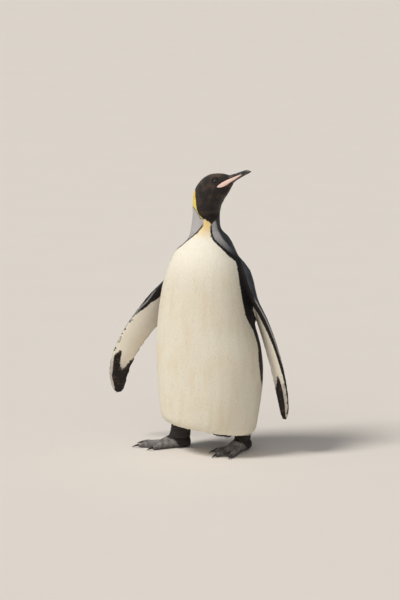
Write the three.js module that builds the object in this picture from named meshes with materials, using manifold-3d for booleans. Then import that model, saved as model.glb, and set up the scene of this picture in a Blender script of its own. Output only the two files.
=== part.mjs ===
// An adult king penguin at life size, standing still: its head is turned to its left, its flippers are held out
// from its sides and its feet point to its right. Every solid is as large as the plumage or skin that it stands for.
// Units are millimetres and +Z is up. The bird faces -Y, with its left side towards +X, and it stands on z = 0.
import * as THREE from "three";
import { mergeVertices } from "three/addons/utils/BufferGeometryUtils.js";
import Module from "manifold-3d";

const wasm = await Module();
wasm.setup();

// ---- Driving dimensions ---------------------------------------------------------------------------------------

const GAP = 0.3; // left between neighbouring solids
const UP = new THREE.Vector3(0, 0, 1);

// The body from the belly's underside to the base of the bill. Each station is a ring across the spine: its
// centre, its half width, its depth in front of and behind the centre, how far it is turned to the left, and how
// much fuller the left half of it is.
const BODY_STATIONS = [
  { centre: [-3.9, 6.4, 71.5], width: 108, front: 88, back: 74, turned: 0 },
  { centre: [-3.6, 6.7, 74.5], width: 128, front: 107, back: 88, turned: 0, fuller: -0.5 },
  { centre: [-2.6, 7.6, 83.5], width: 142.5, front: 120, back: 97, turned: 0, fuller: -3 },
  { centre: [-0.9, 9, 102], width: 149.5, front: 127, back: 102, turned: 0, fuller: -4.5 },
  { centre: [0.8, 10, 138], width: 154, front: 132.5, back: 106.5, turned: 0, fuller: -4 },
  { centre: [2.5, 9, 190], width: 159, front: 136, back: 110, turned: 0, fuller: -3 }, // hips
  { centre: [1.5, 8, 250], width: 162, front: 137, back: 111, turned: 0, fuller: -1 }, // belly
  { centre: [-2, 6, 315], width: 160, front: 134, back: 109, turned: 0, fuller: -2 },
  { centre: [-6, 4, 375], width: 154, front: 128, back: 105, turned: 0, fuller: -9 },
  { centre: [-8, 1, 440], width: 144, front: 119, back: 98, turned: 0, fuller: -9 }, // chest
  { centre: [-7.5, -3, 500], width: 133, front: 108, back: 89, turned: 0, fuller: -6 },
  { centre: [-5, -6, 550], width: 118.5, front: 96, back: 79, turned: 0, fuller: -4 }, // shoulders
  { centre: [-2, -9, 590], width: 102, front: 85, back: 71, turned: 1, fuller: -2.5 },
  { centre: [0.5, -11, 618], width: 84, front: 71, back: 63, turned: 4, fuller: -3 },
  { centre: [-0.5, -12, 647], width: 60.3, front: 56.8, back: 53.9, turned: 10, fuller: 1.2 },
  { centre: [-2.4, -12, 660], width: 53, front: 52.8, back: 50.4, turned: 13.4, fuller: -5.6 },
  { centre: [-4, -12, 672], width: 47.3, front: 49.5, back: 47.5, turned: 17, fuller: -4.5 },
  { centre: [-4.8, -13, 697], width: 42, front: 45.5, back: 43, turned: 27, fuller: -0.5 }, // neck
  { centre: [-4.2, -13.5, 719], width: 40.5, front: 43.5, back: 42, turned: 42 },
  { centre: [-2.4, -13.4, 742], width: 40, front: 44, back: 43.5, turned: 58 },
  { centre: [1, -14.3, 762], width: 38.5, front: 47.5, back: 48, turned: 69 }, // throat
  { centre: [8.7, -16.3, 779], width: 37, front: 48, back: 46.5, turned: 75 },
  { centre: [21.3, -19.7, 793], width: 35.5, front: 46.5, back: 44.5, turned: 75 },
  { centre: [35.3, -23.4, 802.5], width: 31, front: 42, back: 40.5, turned: 75 }, // crown
  { centre: [48.3, -26.9, 809.8], width: 25.8, front: 38, back: 33.5, turned: 75 }, // eyes
  { centre: [60.6, -30.2, 815.2], width: 19.4, front: 31, back: 28, turned: 75 }, // brow
  { centre: [70.8, -33, 819.7], width: 15.6, front: 22.7, back: 21.6, turned: 75 },
  { centre: [81, -35.7, 824.2], width: 13, front: 15.4, back: 14.8, turned: 75 }, // feathers end on the bill
];
const SQUARENESS = 0.94; // the rings' sine and cosine are raised to this power, so that they fill out a little
const BODY_SIDES = 28;
const WIDEST_STEP = 15.5; // stations further apart than this get a ring halfway between them
const NECK_BASE = 630; // heights of the two thin cuts through the body
const HEAD_BASE = 730;

// The bill lies along its own axis from the middle of the gape, which leaves the head at this turn and pitch.
// Each station gives its way along that axis and, across it, the heights of the top, the mouth and the underside.
const BILL_AXIS = { gape: [44.4, -25.9, 806], turned: 75, pitch: 23 };
const BILL_STATIONS = [
  { along: 42.4, top: 16, mouth: 5, under: -11, halfWidth: 12 },
  { along: 58, top: 14, mouth: 5.2, under: -6.3, halfWidth: 9.6 },
  { along: 76, top: 13, mouth: 4.9, under: -4, halfWidth: 7.8 },
  { along: 92, top: 12.3, mouth: 4.1, under: -2.5, halfWidth: 6.2 },
  { along: 103, top: 10.7, mouth: 2.6, under: -1.8, halfWidth: 4.8 },
  { along: 110.5, top: 7.4, mouth: 0.8, under: -1.5, halfWidth: 3.4 },
  { along: 115, top: 3.5, mouth: -0.8, under: -1.9, halfWidth: 2.1 },
  { along: 117.5, top: 0.2, mouth: -1.5, under: -2, halfWidth: 0.9 },
];
const BILL_SIDES = 12;
const LOWER_BILL_ENDS = 5; // the last station that the lower bill reaches
// The coloured plate on each side of the lower bill, from the gape forwards: its middle line and half height.
const PLATE_STATIONS = [
  { along: 3.5, up: -5.2, aside: 24.6, halfHeight: 1 },
  { along: 8, up: -5.3, aside: 23.3, halfHeight: 4 },
  { along: 18, up: -4.4, aside: 18.5, halfHeight: 6.5 },
  { along: 31, up: -2.6, aside: 14.3, halfHeight: 6.7 },
  { along: 45, up: -0.6, aside: 10.6, halfHeight: 5.3 },
  { along: 60, up: 0.9, aside: 8.2, halfHeight: 4 },
  { along: 75, up: 2.2, aside: 6.6, halfHeight: 2.6 },
  { along: 85, up: 3.1, aside: 5.7, halfHeight: 1 },
];
const PLATE_HALF_THICKNESS = 2.2;
const PLATE_SIDES = 8;

const EYE_RADIUS = 8.5;
const EYE_SHOWING = 2.4; // how far the ball stands out of the head
const EYE_STATION = 23.95; // where along the body's stations the eye lies
const EYE_ANGLE = 118; // round that ring from the throat's side, in degrees

// A flipper runs along its middle line from inside the shoulder to its tip. Each station is a point on that line,
// the whole chord, the whole thickness and the way from the leading edge to the trailing edge.
const FLIPPER_STATIONS = {
  left: [
    { point: [80, 8, 590], chord: 46, thick: 26, across: [-0.1, 1, -0.1] },
    { point: [111, 13, 546], chord: 78, thick: 38, across: [-0.15, 1, -0.1] },
    { point: [126, 17.5, 496], chord: 97, thick: 30, across: [-0.3, 0.94, -0.12] },
    { point: [136, 21, 451.5], chord: 107, thick: 22, across: [-0.5, 0.86, -0.14] },
    { point: [158.5, 19.3, 402], chord: 90, thick: 17, across: [-0.66, 0.74, -0.15] },
    { point: [186, 20.5, 327], chord: 77, thick: 13, across: [-0.76, 0.63, -0.15] },
    { point: [205, 25, 257], chord: 73.5, thick: 11, across: [-0.78, 0.6, -0.1] },
    { point: [216, 32, 192], chord: 69, thick: 9.5, across: [-0.78, 0.6, -0.05] },
    { point: [221, 37, 144], chord: 56, thick: 8, across: [-0.78, 0.6, -0.02] },
    { point: [221, 41, 118], chord: 38, thick: 6.5, across: [-0.78, 0.6, 0] },
    { point: [221, 42, 106], chord: 18, thick: 4, across: [-0.78, 0.6, 0] },
  ],
  right: [
    { point: [-76, 4, 572], chord: 46, thick: 22, across: [0.05, 1, -0.1] },
    { point: [-103, 10, 530], chord: 74, thick: 32, across: [0.2, 0.98, -0.15] },
    { point: [-126, 18, 490], chord: 88, thick: 28, across: [0.48, 0.82, -0.3] },
    { point: [-155, 27, 450], chord: 92, thick: 21, across: [0.68, 0.58, -0.42] },
    { point: [-191, 35, 407], chord: 88, thick: 17, across: [0.8, 0.4, -0.45] },
    { point: [-238, 43, 352], chord: 80, thick: 13, across: [0.87, 0.26, -0.42] },
    { point: [-278, 50, 293], chord: 74, thick: 11, across: [0.88, 0.25, -0.38] },
    { point: [-304, 55, 236], chord: 68, thick: 9.5, across: [0.93, 0.22, -0.22] },
    { point: [-314, 60, 190], chord: 57, thick: 8, across: [0.96, 0.2, -0.1] },
    { point: [-314, 64, 158], chord: 40, thick: 6.5, across: [0.96, 0.2, 0] },
    { point: [-312, 66, 145], chord: 17, thick: 4, across: [0.96, 0.2, 0] },
  ],
};
const FLIPPER_SIDES = 14;
const TRAILING_EDGE = 0.3; // the thickness near the trailing edge, as a share of the thickest

const TAIL_STATIONS = [
  { centre: [0, 90, 176], width: 62, front: 34, back: 30 },
  { centre: [-1, 108, 134], width: 59, front: 26, back: 22 },
  { centre: [-2, 121, 92], width: 52, front: 16, back: 14 },
  { centre: [-5, 132, 48], width: 41, front: 8, back: 7 },
  { centre: [-7, 138, 16], width: 29, front: 4, back: 4 },
];
const TAIL_SIDES = 16;

// Each leg stands on its ankle; its foot points the given way to the bird's right of straight ahead.
const LEGS = {
  left: { ankle: [87, 60], turned: -20, legRadius: 26, hip: [84, 36, 150] },
  right: { ankle: [-101, 33], turned: -66, legRadius: 32, hip: [-95, 20, 150] },
};
const ANKLE_HEIGHT = 34;
const LEG_SIDES = 16;
const FOOT = {
  heel: 29, // behind the ankle
  toes: [
    // how far each toe turns outwards, its length from the ankle and its half width
    { name: "inner", angle: -24, length: 98, halfWidth: 8.5 },
    { name: "middle", angle: 0, length: 130, halfWidth: 9.5 },
    { name: "outer", angle: 21, length: 121, halfWidth: 9 },
  ],
  webReach: 0.8, // of the toes' length, at the middle of each web
  webThickness: 6,
  sideToe: { angle: -62, length: 30, halfWidth: 5.5 },
};
const CLAW = { length: 27, radius: 5, droop: 7, sides: 6, rings: 4 };
const SIDE_CLAW = { length: 10, radius: 2.6, droop: 2.5, sides: 6, rings: 3 };

// ---- Solids ---------------------------------------------------------------------------------------------------

/** A closed geometry as a solid that can be joined and cut. */
function solidOf(geometry) {
  const bare = new THREE.BufferGeometry();
  bare.setAttribute("position", geometry.getAttribute("position"));
  if (geometry.index) bare.setIndex(geometry.index);
  const merged = mergeVertices(bare, 1e-4);
  const mesh = new wasm.Mesh({
    numProp: 3,
    vertProperties: merged.getAttribute("position").array,
    triVerts: new Uint32Array(merged.index.array),
  });
  return new wasm.Manifold(mesh);
}

/** A named mesh of a solid, in the given colour. */
function meshOf(name, solid, look) {
  const { vertProperties, triVerts } = solid.getMesh();
  const geometry = new THREE.BufferGeometry();
  geometry.setAttribute("position", new THREE.BufferAttribute(vertProperties, 3));
  geometry.setIndex(new THREE.BufferAttribute(triVerts, 1));
  geometry.computeVertexNormals();
  const mesh = new THREE.Mesh(geometry, look);
  mesh.name = name;
  return mesh;
}

/** A closed skin over rings of equally many points, with a fan over each end. */
function loft(rings) {
  const sides = rings[0].length;
  const points = rings.flat();
  const middleOf = (ring) => ring.reduce((sum, p) => sum.add(p), new THREE.Vector3()).divideScalar(sides);
  const first = points.push(middleOf(rings[0])) - 1;
  const last = points.push(middleOf(rings.at(-1))) - 1;
  const faces = [];
  for (let r = 0; r + 1 < rings.length; r++) {
    for (let s = 0; s < sides; s++) {
      const next = (s + 1) % sides;
      const [a, b, c, d] = [r * sides + s, r * sides + next, (r + 1) * sides + next, (r + 1) * sides + s];
      faces.push(a, b, c, a, c, d);
    }
  }
  const end = (rings.length - 1) * sides;
  for (let s = 0; s < sides; s++) {
    const next = (s + 1) % sides;
    faces.push(first, next, s, last, end + s, end + next);
  }
  const geometry = new THREE.BufferGeometry().setFromPoints(points).setIndex(faces);
  const solid = solidOf(geometry);
  if (solid.volume() > 0) return solid;
  for (let i = 0; i < faces.length; i += 3) [faces[i], faces[i + 1]] = [faces[i + 1], faces[i]];
  return solidOf(new THREE.BufferGeometry().setFromPoints(points).setIndex(faces));
}

/** A box as a solid, centred on a point and turned about Z. */
function block(size, centre, turned = 0) {
  const box = new THREE.BoxGeometry(...size).rotateZ(turned).translate(...centre);
  return solidOf(box);
}

/** A number or a list of numbers that runs smoothly through the stations' values. */
function smoothly(stations, read) {
  const curve = new THREE.CatmullRomCurve3(
    stations.map((s) => new THREE.Vector3(...read(s))),
    false,
    "centripetal",
  );
  const last = stations.length - 1;
  return (at) => curve.getPoint(THREE.MathUtils.clamp(at / last, 0, 1));
}

/** Sine or cosine raised to a power that keeps its sign, which makes a circle a superellipse. */
const rounded = (value) => Math.sign(value) * Math.abs(value) ** SQUARENESS;

const unit = (x, y, z) => new THREE.Vector3(x, y, z).normalize();

/** The way that something faces when it is turned to the left and pitched up by these degrees. */
function heading(turned, pitch = 0) {
  const turn = THREE.MathUtils.degToRad(turned);
  const rise = THREE.MathUtils.degToRad(pitch);
  return unit(Math.sin(turn) * Math.cos(rise), -Math.cos(turn) * Math.cos(rise), Math.sin(rise));
}

// ---- Trunk, neck and head -------------------------------------------------------------------------------------

/** The rings across stations like the body's, with frames that give each ring's left side and front. */
class Spine {
  constructor(stations) {
    this.stations = stations;
    this.centre = smoothly(stations, (s) => s.centre);
    this.size = smoothly(stations, (s) => [s.width, s.front, s.back]);
    this.turn = smoothly(stations, (s) => [s.turned ?? 0, s.fuller ?? 0, 0]);
  }

  frame(at) {
    const step = 0.05;
    const along = this.centre(at + step).sub(this.centre(at - step)).normalize();
    const turned = THREE.MathUtils.degToRad(this.turn(at).x);
    const left = new THREE.Vector3(Math.cos(turned), Math.sin(turned), 0);
    left.addScaledVector(along, -left.dot(along)).normalize();
    const front = left.clone().cross(along);
    return { centre: this.centre(at), along, left, front };
  }

  /** The point at an angle round the ring, from the front towards the left side. */
  point(at, angle, grown = 0) {
    const { centre, left, front } = this.frame(at);
    const size = this.size(at);
    const depth = (Math.cos(angle) > 0 ? size.y : size.z) + grown;
    const reach = size.x + (Math.sin(angle) > 0 ? this.turn(at).y : 0) + grown;
    return centre
      .addScaledVector(left, reach * rounded(Math.sin(angle)))
      .addScaledVector(front, depth * rounded(Math.cos(angle)));
  }

  ring(at, sides, grown = 0) {
    return Array.from({ length: sides }, (_, i) => this.point(at, (2 * Math.PI * i) / sides, grown));
  }

  solid(sides, grown = 0) {
    const rings = [this.ring(0, sides, grown)];
    for (let i = 1; i < this.stations.length; i++) {
      if (this.centre(i).distanceTo(this.centre(i - 1)) > WIDEST_STEP) rings.push(this.ring(i - 0.5, sides, grown));
      rings.push(this.ring(i, sides, grown));
    }
    return loft(rings);
  }
}

const body = new Spine(BODY_STATIONS);

// ---- Bill -----------------------------------------------------------------------------------------------------

const billForward = heading(BILL_AXIS.turned, BILL_AXIS.pitch);
const billLeft = UP.clone().cross(billForward).normalize();
const billUp = billForward.clone().cross(billLeft);

/** A point of the bill, given along its axis, to its left side and up. */
function billPoint(along, aside, up) {
  return new THREE.Vector3(...BILL_AXIS.gape)
    .addScaledVector(billForward, along)
    .addScaledVector(billLeft, aside)
    .addScaledVector(billUp, up);
}

/** The upper bill arches over the mouth, and the lower one hangs under it. */
function billHalf(upwards, lastStation, grown = 0) {
  const along = smoothly(BILL_STATIONS, (s) => [s.along, s.halfWidth, s.mouth]);
  const edges = smoothly(BILL_STATIONS, (s) => [s.top, s.under, 0]);
  const rings = [];
  for (let i = 0; i <= lastStation; i++) {
    const { x, y: halfWidth, z: mouth } = along(i);
    const { x: top, y: under } = edges(i);
    const flat = mouth + (upwards ? GAP / 2 - grown : -GAP / 2 + grown);
    const rise = upwards ? top + grown - flat : under - grown - flat;
    rings.push(
      Array.from({ length: BILL_SIDES }, (_, s) => {
        const angle = (2 * Math.PI * s) / BILL_SIDES;
        return billPoint(x, (halfWidth + grown) * Math.cos(angle), flat + rise * Math.max(0, Math.sin(angle)));
      }),
    );
  }
  return loft(rings);
}

/** The plate along one side of the lower bill: 1 is the left side and -1 the right. */
function billPlate(side, grown = 0) {
  const line = smoothly(PLATE_STATIONS, (s) => [s.along, side * s.aside, s.up]);
  const height = smoothly(PLATE_STATIONS, (s) => [s.halfHeight, 0, 0]);
  const rings = PLATE_STATIONS.map((_, i) => {
    const { x, y, z } = line(i);
    return Array.from({ length: PLATE_SIDES }, (_, s) => {
      const angle = (2 * Math.PI * s) / PLATE_SIDES;
      return billPoint(
        x,
        y + (PLATE_HALF_THICKNESS + grown) * Math.cos(angle),
        z + (height(i).x + grown) * rounded(Math.sin(angle)),
      );
    });
  });
  return loft(rings);
}

// ---- Flippers -------------------------------------------------------------------------------------------------

/** A flipper's rings: blunt at the leading edge and thin at the trailing edge. */
function flipper(stations, between, grown = 0) {
  const point = smoothly(stations, (s) => s.point);
  const size = smoothly(stations, (s) => [s.chord, s.thick, 0]);
  const across = smoothly(stations, (s) => s.across);
  const steps = (stations.length - 1) * between;
  const rings = [];
  for (let i = 0; i <= steps; i++) {
    const at = i / between;
    const along = point(at + 0.05).sub(point(at - 0.05)).normalize();
    const chordwise = across(at);
    chordwise.addScaledVector(along, -chordwise.dot(along)).normalize();
    const outwards = along.clone().cross(chordwise);
    const { x: chord, y: thick } = size(at);
    rings.push(
      Array.from({ length: FLIPPER_SIDES }, (_, s) => {
        const angle = (2 * Math.PI * s) / FLIPPER_SIDES;
        const back = (1 + Math.cos(angle)) / 2; // 0 at the leading edge, 1 at the trailing edge
        const share = 1 - (1 - TRAILING_EDGE) * back ** 1.4;
        return point(at)
          .addScaledVector(chordwise, (chord / 2 + grown) * Math.cos(angle))
          .addScaledVector(outwards, (thick / 2 * share + grown) * Math.sin(angle));
      }),
    );
  }
  return loft(rings);
}

// ---- Legs and feet --------------------------------------------------------------------------------------------

/** A round-ended tapering bar through the given stations of centre, half width and half height. */
function bar(stations, sides, between) {
  const centre = smoothly(stations, (s) => s.centre);
  const size = smoothly(stations, (s) => [s.halfWidth, s.halfHeight, 0]);
  const steps = (stations.length - 1) * between;
  const rings = [];
  for (let i = 0; i <= steps; i++) {
    const at = i / between;
    const along = centre(at + 0.05).sub(centre(at - 0.05)).normalize();
    const aside = UP.clone().cross(along).normalize();
    const over = along.clone().cross(aside);
    rings.push(
      Array.from({ length: sides }, (_, s) => {
        const angle = (2 * Math.PI * s) / sides;
        return centre(at)
          .addScaledVector(aside, size(at).x * Math.cos(angle))
          .addScaledVector(over, size(at).y * Math.sin(angle));
      }),
    );
  }
  return loft(rings);
}

/** The way a toe points in the foot's own frame, whose front is -Y; outwards is +X. */
const toeWay = (angle) => heading(angle);

/** A toe with its low knuckles, from the ankle to the claw. */
function toe({ angle, length, halfWidth }) {
  const way = toeWay(angle);
  const at = (share, height) => [way.x * length * share, way.y * length * share, height];
  return bar(
    [
      { centre: at(0, 14), halfWidth: halfWidth * 1.25, halfHeight: 14 },
      { centre: at(0.3, 12), halfWidth: halfWidth * 1.2, halfHeight: 13 },
      { centre: at(0.48, 9), halfWidth: halfWidth * 1.05, halfHeight: 10 },
      { centre: at(0.62, 8.5), halfWidth: halfWidth * 1.1, halfHeight: 9.5 },
      { centre: at(0.76, 7.5), halfWidth: halfWidth * 0.95, halfHeight: 8.5 },
      { centre: at(0.88, 7.5), halfWidth: halfWidth, halfHeight: 8.5 },
      { centre: at(0.97, 7), halfWidth: halfWidth * 0.75, halfHeight: 6.5 },
      { centre: at(1, 7), halfWidth: halfWidth * 0.35, halfHeight: 3 },
    ],
    8,
    1,
  );
}

/** The skin between two neighbouring toes, with a hollow front edge. */
function web(first, second) {
  const tip = (t, share) => toeWay(t.angle).multiplyScalar(t.length * share);
  const [a, b] = [tip(first, 0.93), tip(second, 0.93)];
  const hollow = a.clone().add(b).multiplyScalar(0.5 * FOOT.webReach / 0.93);
  const shape = new THREE.Shape([new THREE.Vector2(0, 0)]);
  shape.lineTo(a.x, a.y);
  shape.quadraticCurveTo(hollow.x, hollow.y, b.x, b.y);
  shape.lineTo(0, 0);
  const sheet = new THREE.ExtrudeGeometry(shape, { depth: FOOT.webThickness, bevelEnabled: false, curveSegments: 4 });
  return solidOf(sheet.translate(0, 0, -1));
}

/** A claw that curves down from the end of its toe, in the foot's frame. */
function claw({ angle, length }, size, startHeight, grown = 0) {
  const way = toeWay(angle);
  const stations = [];
  for (let i = 0; i <= size.rings; i++) {
    const t = i / size.rings;
    const reach = length - size.radius * 1.6 + size.length * t;
    const radius = size.radius * Math.max(0.08, (1 - t) ** 0.7);
    stations.push({
      centre: [way.x * reach, way.y * reach, startHeight - size.droop * t ** 1.8],
      halfWidth: radius * 0.85 + grown,
      halfHeight: radius + grown,
    });
  }
  return bar(stations, size.sides, 1);
}

/** A foot before it is turned: toes, webs, the hump over the ankle and the small side toe. */
function footSolid(mirror) {
  const toes = FOOT.toes.map((t) => ({ ...t, angle: t.angle * mirror }));
  const side = { ...FOOT.sideToe, angle: FOOT.sideToe.angle * mirror };
  let foot = bar(
    [
      { centre: [0, FOOT.heel, 15], halfWidth: 6, halfHeight: 6 },
      { centre: [0, FOOT.heel - 4, 15], halfWidth: 15, halfHeight: 14 },
      { centre: [0, 8, 18], halfWidth: 21, halfHeight: 20 },
      { centre: [0, -14, 19], halfWidth: 22, halfHeight: 21 },
      { centre: [0, -38, 16], halfWidth: 23, halfHeight: 19 },
      { centre: [0, -58, 11], halfWidth: 21, halfHeight: 13 },
      { centre: [0, -74, 8], halfWidth: 17, halfHeight: 8.5 },
    ],
    14,
    1,
  );
  for (const t of toes) foot = foot.add(toe(t));
  foot = foot.add(web(toes[0], toes[1])).add(web(toes[1], toes[2]));
  const way = toeWay(side.angle);
  foot = foot.add(
    bar(
      [
        { centre: [0, 0, 14], halfWidth: 9, halfHeight: 9 },
        { centre: [way.x * side.length * 0.7, way.y * side.length * 0.7, 13], halfWidth: 6.5, halfHeight: 6.5 },
        { centre: [way.x * side.length, way.y * side.length, 12], halfWidth: 4.5, halfHeight: 4.5 },
      ],
      8,
      1,
    ),
  );
  return { foot, toes, side };
}

/** A leg, its foot and its claws, all in place. */
function legParts(sideName, look) {
  const { ankle, turned, legRadius, hip } = LEGS[sideName];
  const mirror = sideName === "left" ? 1 : -1;
  const place = (solid) => solid.rotate([0, 0, turned]).translate([ankle[0], ankle[1], 0]);
  const { foot, toes, side } = footSolid(mirror);
  const clawsOf = (grown) => [
    ...toes.map((t) => claw(t, CLAW, 8.5, grown)),
    claw(side, SIDE_CLAW, 12, grown),
  ];
  const ground = block([400, 400, 40], [0, 0, -20]);
  const above = block([400, 400, 200], [0, 0, ANKLE_HEIGHT + 100 - GAP]);
  let bare = foot.subtract(ground).subtract(above);
  for (const cut of clawsOf(GAP)) bare = bare.subtract(cut);
  const ring = (centre, radius, instep) => ({ centre, width: radius, front: radius + instep, back: radius, turned });
  const shank = new Spine([
    ring([ankle[0], ankle[1] - 3, 22], legRadius - 3, 14),
    ring([ankle[0], ankle[1] - 2, 38], legRadius - 2, 6),
    ring([ankle[0], ankle[1] - 2, 56], legRadius - 1, 0),
    ring([ankle[0] * 0.98, ankle[1] - 4, 80], legRadius + 1, -3),
    ring(hip, legRadius + 10, 0),
  ]).solid(LEG_SIDES);
  const below = block([1000, 1000, 200], [0, 0, ANKLE_HEIGHT - 100]);
  const leg = shank.subtract(below).subtract(grownBody);
  const clawNames = [...FOOT.toes.map((t) => t.name), "side"];
  return [
    meshOf(`leg_${sideName}`, leg, look.leg),
    meshOf(`foot_${sideName}`, place(bare), look.foot),
    ...clawsOf(0).map((c, i) => meshOf(`claw_${sideName}_${clawNames[i]}`, place(c.subtract(ground)), look.claw)),
  ];
}

// ---- Assembly -------------------------------------------------------------------------------------------------

const LOOKS = {
  plumage: new THREE.MeshStandardMaterial({ color: 0xe9e2cf, roughness: 0.75 }),
  hood: new THREE.MeshStandardMaterial({ color: 0x1d1814, roughness: 0.7 }),
  slate: new THREE.MeshStandardMaterial({ color: 0x55585c, roughness: 0.75 }),
  leg: new THREE.MeshStandardMaterial({ color: 0x2a2624, roughness: 0.8 }),
  foot: new THREE.MeshStandardMaterial({ color: 0x3a3735, roughness: 0.75 }),
  claw: new THREE.MeshStandardMaterial({ color: 0x161413, roughness: 0.4 }),
  bill: new THREE.MeshStandardMaterial({ color: 0x26221f, roughness: 0.45 }),
  plate: new THREE.MeshStandardMaterial({ color: 0xe8b6a0, roughness: 0.4 }),
  eye: new THREE.MeshStandardMaterial({ color: 0x1a100a, roughness: 0.1 }),
};

const bodySolid = body.solid(BODY_SIDES);
const widened = body.solid(BODY_SIDES, GAP);
const grownBody = widened.add(widened.translate([0, 0, -GAP])); // the flat end of the belly grows downwards too
const upTo = (height) => block([2000, 2000, 2000], [0, 0, height - 1000]);

const trunk = bodySolid.intersect(upTo(NECK_BASE));
const neck = bodySolid.subtract(upTo(NECK_BASE + GAP)).intersect(upTo(HEAD_BASE));

const upperBill = billHalf(true, BILL_STATIONS.length - 1);
const lowerBill = billHalf(false, LOWER_BILL_ENDS);
const plates = { left: billPlate(1), right: billPlate(-1) };
const grownPlates = { left: billPlate(1, GAP), right: billPlate(-1, GAP) };

/** The eye's centre, sunk along the head's own outward direction. */
function eyeCentre(side) {
  const angle = THREE.MathUtils.degToRad(EYE_ANGLE) * side;
  const surface = body.point(EYE_STATION, angle);
  const ahead = body.point(EYE_STATION + 0.1, angle).sub(surface);
  const around = body.point(EYE_STATION, angle + 0.05 * side).sub(surface);
  const outward = ahead.cross(around).normalize().multiplyScalar(side);
  if (outward.dot(surface.clone().sub(body.centre(EYE_STATION))) < 0) outward.negate();
  return surface.addScaledVector(outward, EYE_SHOWING - EYE_RADIUS);
}
const ball = (centre, radius) => solidOf(new THREE.SphereGeometry(radius, 12, 9).translate(centre.x, centre.y, centre.z));

let head = bodySolid.subtract(upTo(HEAD_BASE + GAP));
const bird = new THREE.Group();
for (const [sideName, side] of Object.entries({ left: 1, right: -1 })) {
  head = head.subtract(grownPlates[sideName]).subtract(ball(eyeCentre(side), EYE_RADIUS + GAP));
  bird.add(meshOf(`eye_${sideName}`, ball(eyeCentre(side), EYE_RADIUS), LOOKS.eye));
  bird.add(meshOf(`bill_plate_${sideName}`, plates[sideName], LOOKS.plate));
  const wing = flipper(FLIPPER_STATIONS[sideName], 2).subtract(grownBody);
  bird.add(meshOf(`flipper_${sideName}`, wing, LOOKS.slate));
  bird.add(...legParts(sideName, LOOKS));
}
const tail = new Spine(TAIL_STATIONS).solid(TAIL_SIDES).subtract(grownBody);

bird.add(meshOf("trunk", trunk, LOOKS.plumage));
bird.add(meshOf("neck", neck, LOOKS.slate));
bird.add(meshOf("head", head, LOOKS.hood));
bird.add(meshOf("tail", tail, LOOKS.slate));
bird.add(meshOf("bill_upper", upperBill, LOOKS.bill));
bird.add(meshOf("bill_lower", lowerBill.subtract(grownPlates.left).subtract(grownPlates.right), LOOKS.bill));

// The middle of the bounding box's underside is the origin.
const bounds = new THREE.Box3().setFromObject(bird, true);
bird.position.set(-(bounds.min.x + bounds.max.x) / 2, -(bounds.min.y + bounds.max.y) / 2, -bounds.min.z);

export default bird;
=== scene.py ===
"""A life-size king penguin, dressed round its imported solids.

One skin stands for every solid of flesh and lies inside them by the depth of the plumage. Feathers,
scales, bill, plates, eyes, lids and claws are solid meshes of their own. Lengths are in metres, +Z is up
and the breast faces -Y.
"""

from __future__ import annotations

import logging
import math
from collections.abc import Callable, Iterable, Sequence
from dataclasses import dataclass, field
from enum import Enum
from typing import Any

import bmesh
import bpy
import numpy as np
from mathutils import Matrix, Vector
from mathutils.bvhtree import BVHTree

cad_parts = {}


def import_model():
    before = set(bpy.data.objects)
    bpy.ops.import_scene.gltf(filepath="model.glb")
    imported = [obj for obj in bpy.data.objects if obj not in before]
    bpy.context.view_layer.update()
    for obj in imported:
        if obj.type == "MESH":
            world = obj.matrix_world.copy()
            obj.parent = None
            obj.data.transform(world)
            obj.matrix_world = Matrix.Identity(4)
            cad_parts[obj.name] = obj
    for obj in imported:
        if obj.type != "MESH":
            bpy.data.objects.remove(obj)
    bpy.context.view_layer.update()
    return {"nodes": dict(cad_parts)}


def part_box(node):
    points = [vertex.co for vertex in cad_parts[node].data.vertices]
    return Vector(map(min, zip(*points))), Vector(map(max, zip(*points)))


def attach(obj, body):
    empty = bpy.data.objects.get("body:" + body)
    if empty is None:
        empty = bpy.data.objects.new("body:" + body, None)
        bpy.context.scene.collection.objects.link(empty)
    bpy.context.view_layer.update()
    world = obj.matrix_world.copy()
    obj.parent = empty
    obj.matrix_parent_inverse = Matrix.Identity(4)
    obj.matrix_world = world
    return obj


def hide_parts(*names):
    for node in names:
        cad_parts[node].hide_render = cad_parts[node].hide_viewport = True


log = logging.getLogger("king_penguin")

Stations = Sequence[tuple[float, float]]
Colour = tuple[float, float, float]

BODY = "root"
SEED = 20
MAP_MARGIN = 0.01  # how far the roots keep from the edges of the bake's map


# ---- Numbers and curves --------------------------------------------------------------------------


def srgb(red: int, green: int, blue: int) -> Colour:
    """Returns the linear colour of a red, green and blue given from 0 to 255."""
    return tuple(
        part / 12.92 if part <= 0.04045 else ((part + 0.055) / 1.055) ** 2.4
        for part in (red / 255, green / 255, blue / 255)
    )


def curve(at: np.ndarray, stations: Stations) -> np.ndarray:
    """A smooth curve through a few stations, level beyond its ends.

    Args:
        at: The places where its value is wanted.
        stations: Pairs of place and value, in rising order of place.

    Returns:
        The value at each place.
    """
    place, value = np.array(stations, float).T
    slope = np.gradient(value, place)
    i = np.clip(np.searchsorted(place, at) - 1, 0, len(place) - 2)
    step = place[i + 1] - place[i]
    t = np.clip((at - place[i]) / step, 0, 1)
    return (
        (1 + 2 * t) * (1 - t) ** 2 * value[i]
        + t * t * (3 - 2 * t) * value[i + 1]
        + step * t * (1 - t) * ((1 - t) * slope[i] - t * slope[i + 1])
    )


def ramp(at: np.ndarray, low: float | np.ndarray, high: float | np.ndarray) -> np.ndarray:
    """Returns a smooth step from 0 at low to 1 at high, which may be the lower of the two."""
    t = np.clip((at - low) / (high - low), 0, 1)
    return t * t * (3 - 2 * t)


def unit(vectors: np.ndarray) -> np.ndarray:
    """Returns the vectors at length one."""
    return vectors / np.maximum(np.linalg.norm(vectors, axis=-1, keepdims=True), 1e-12)


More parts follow.
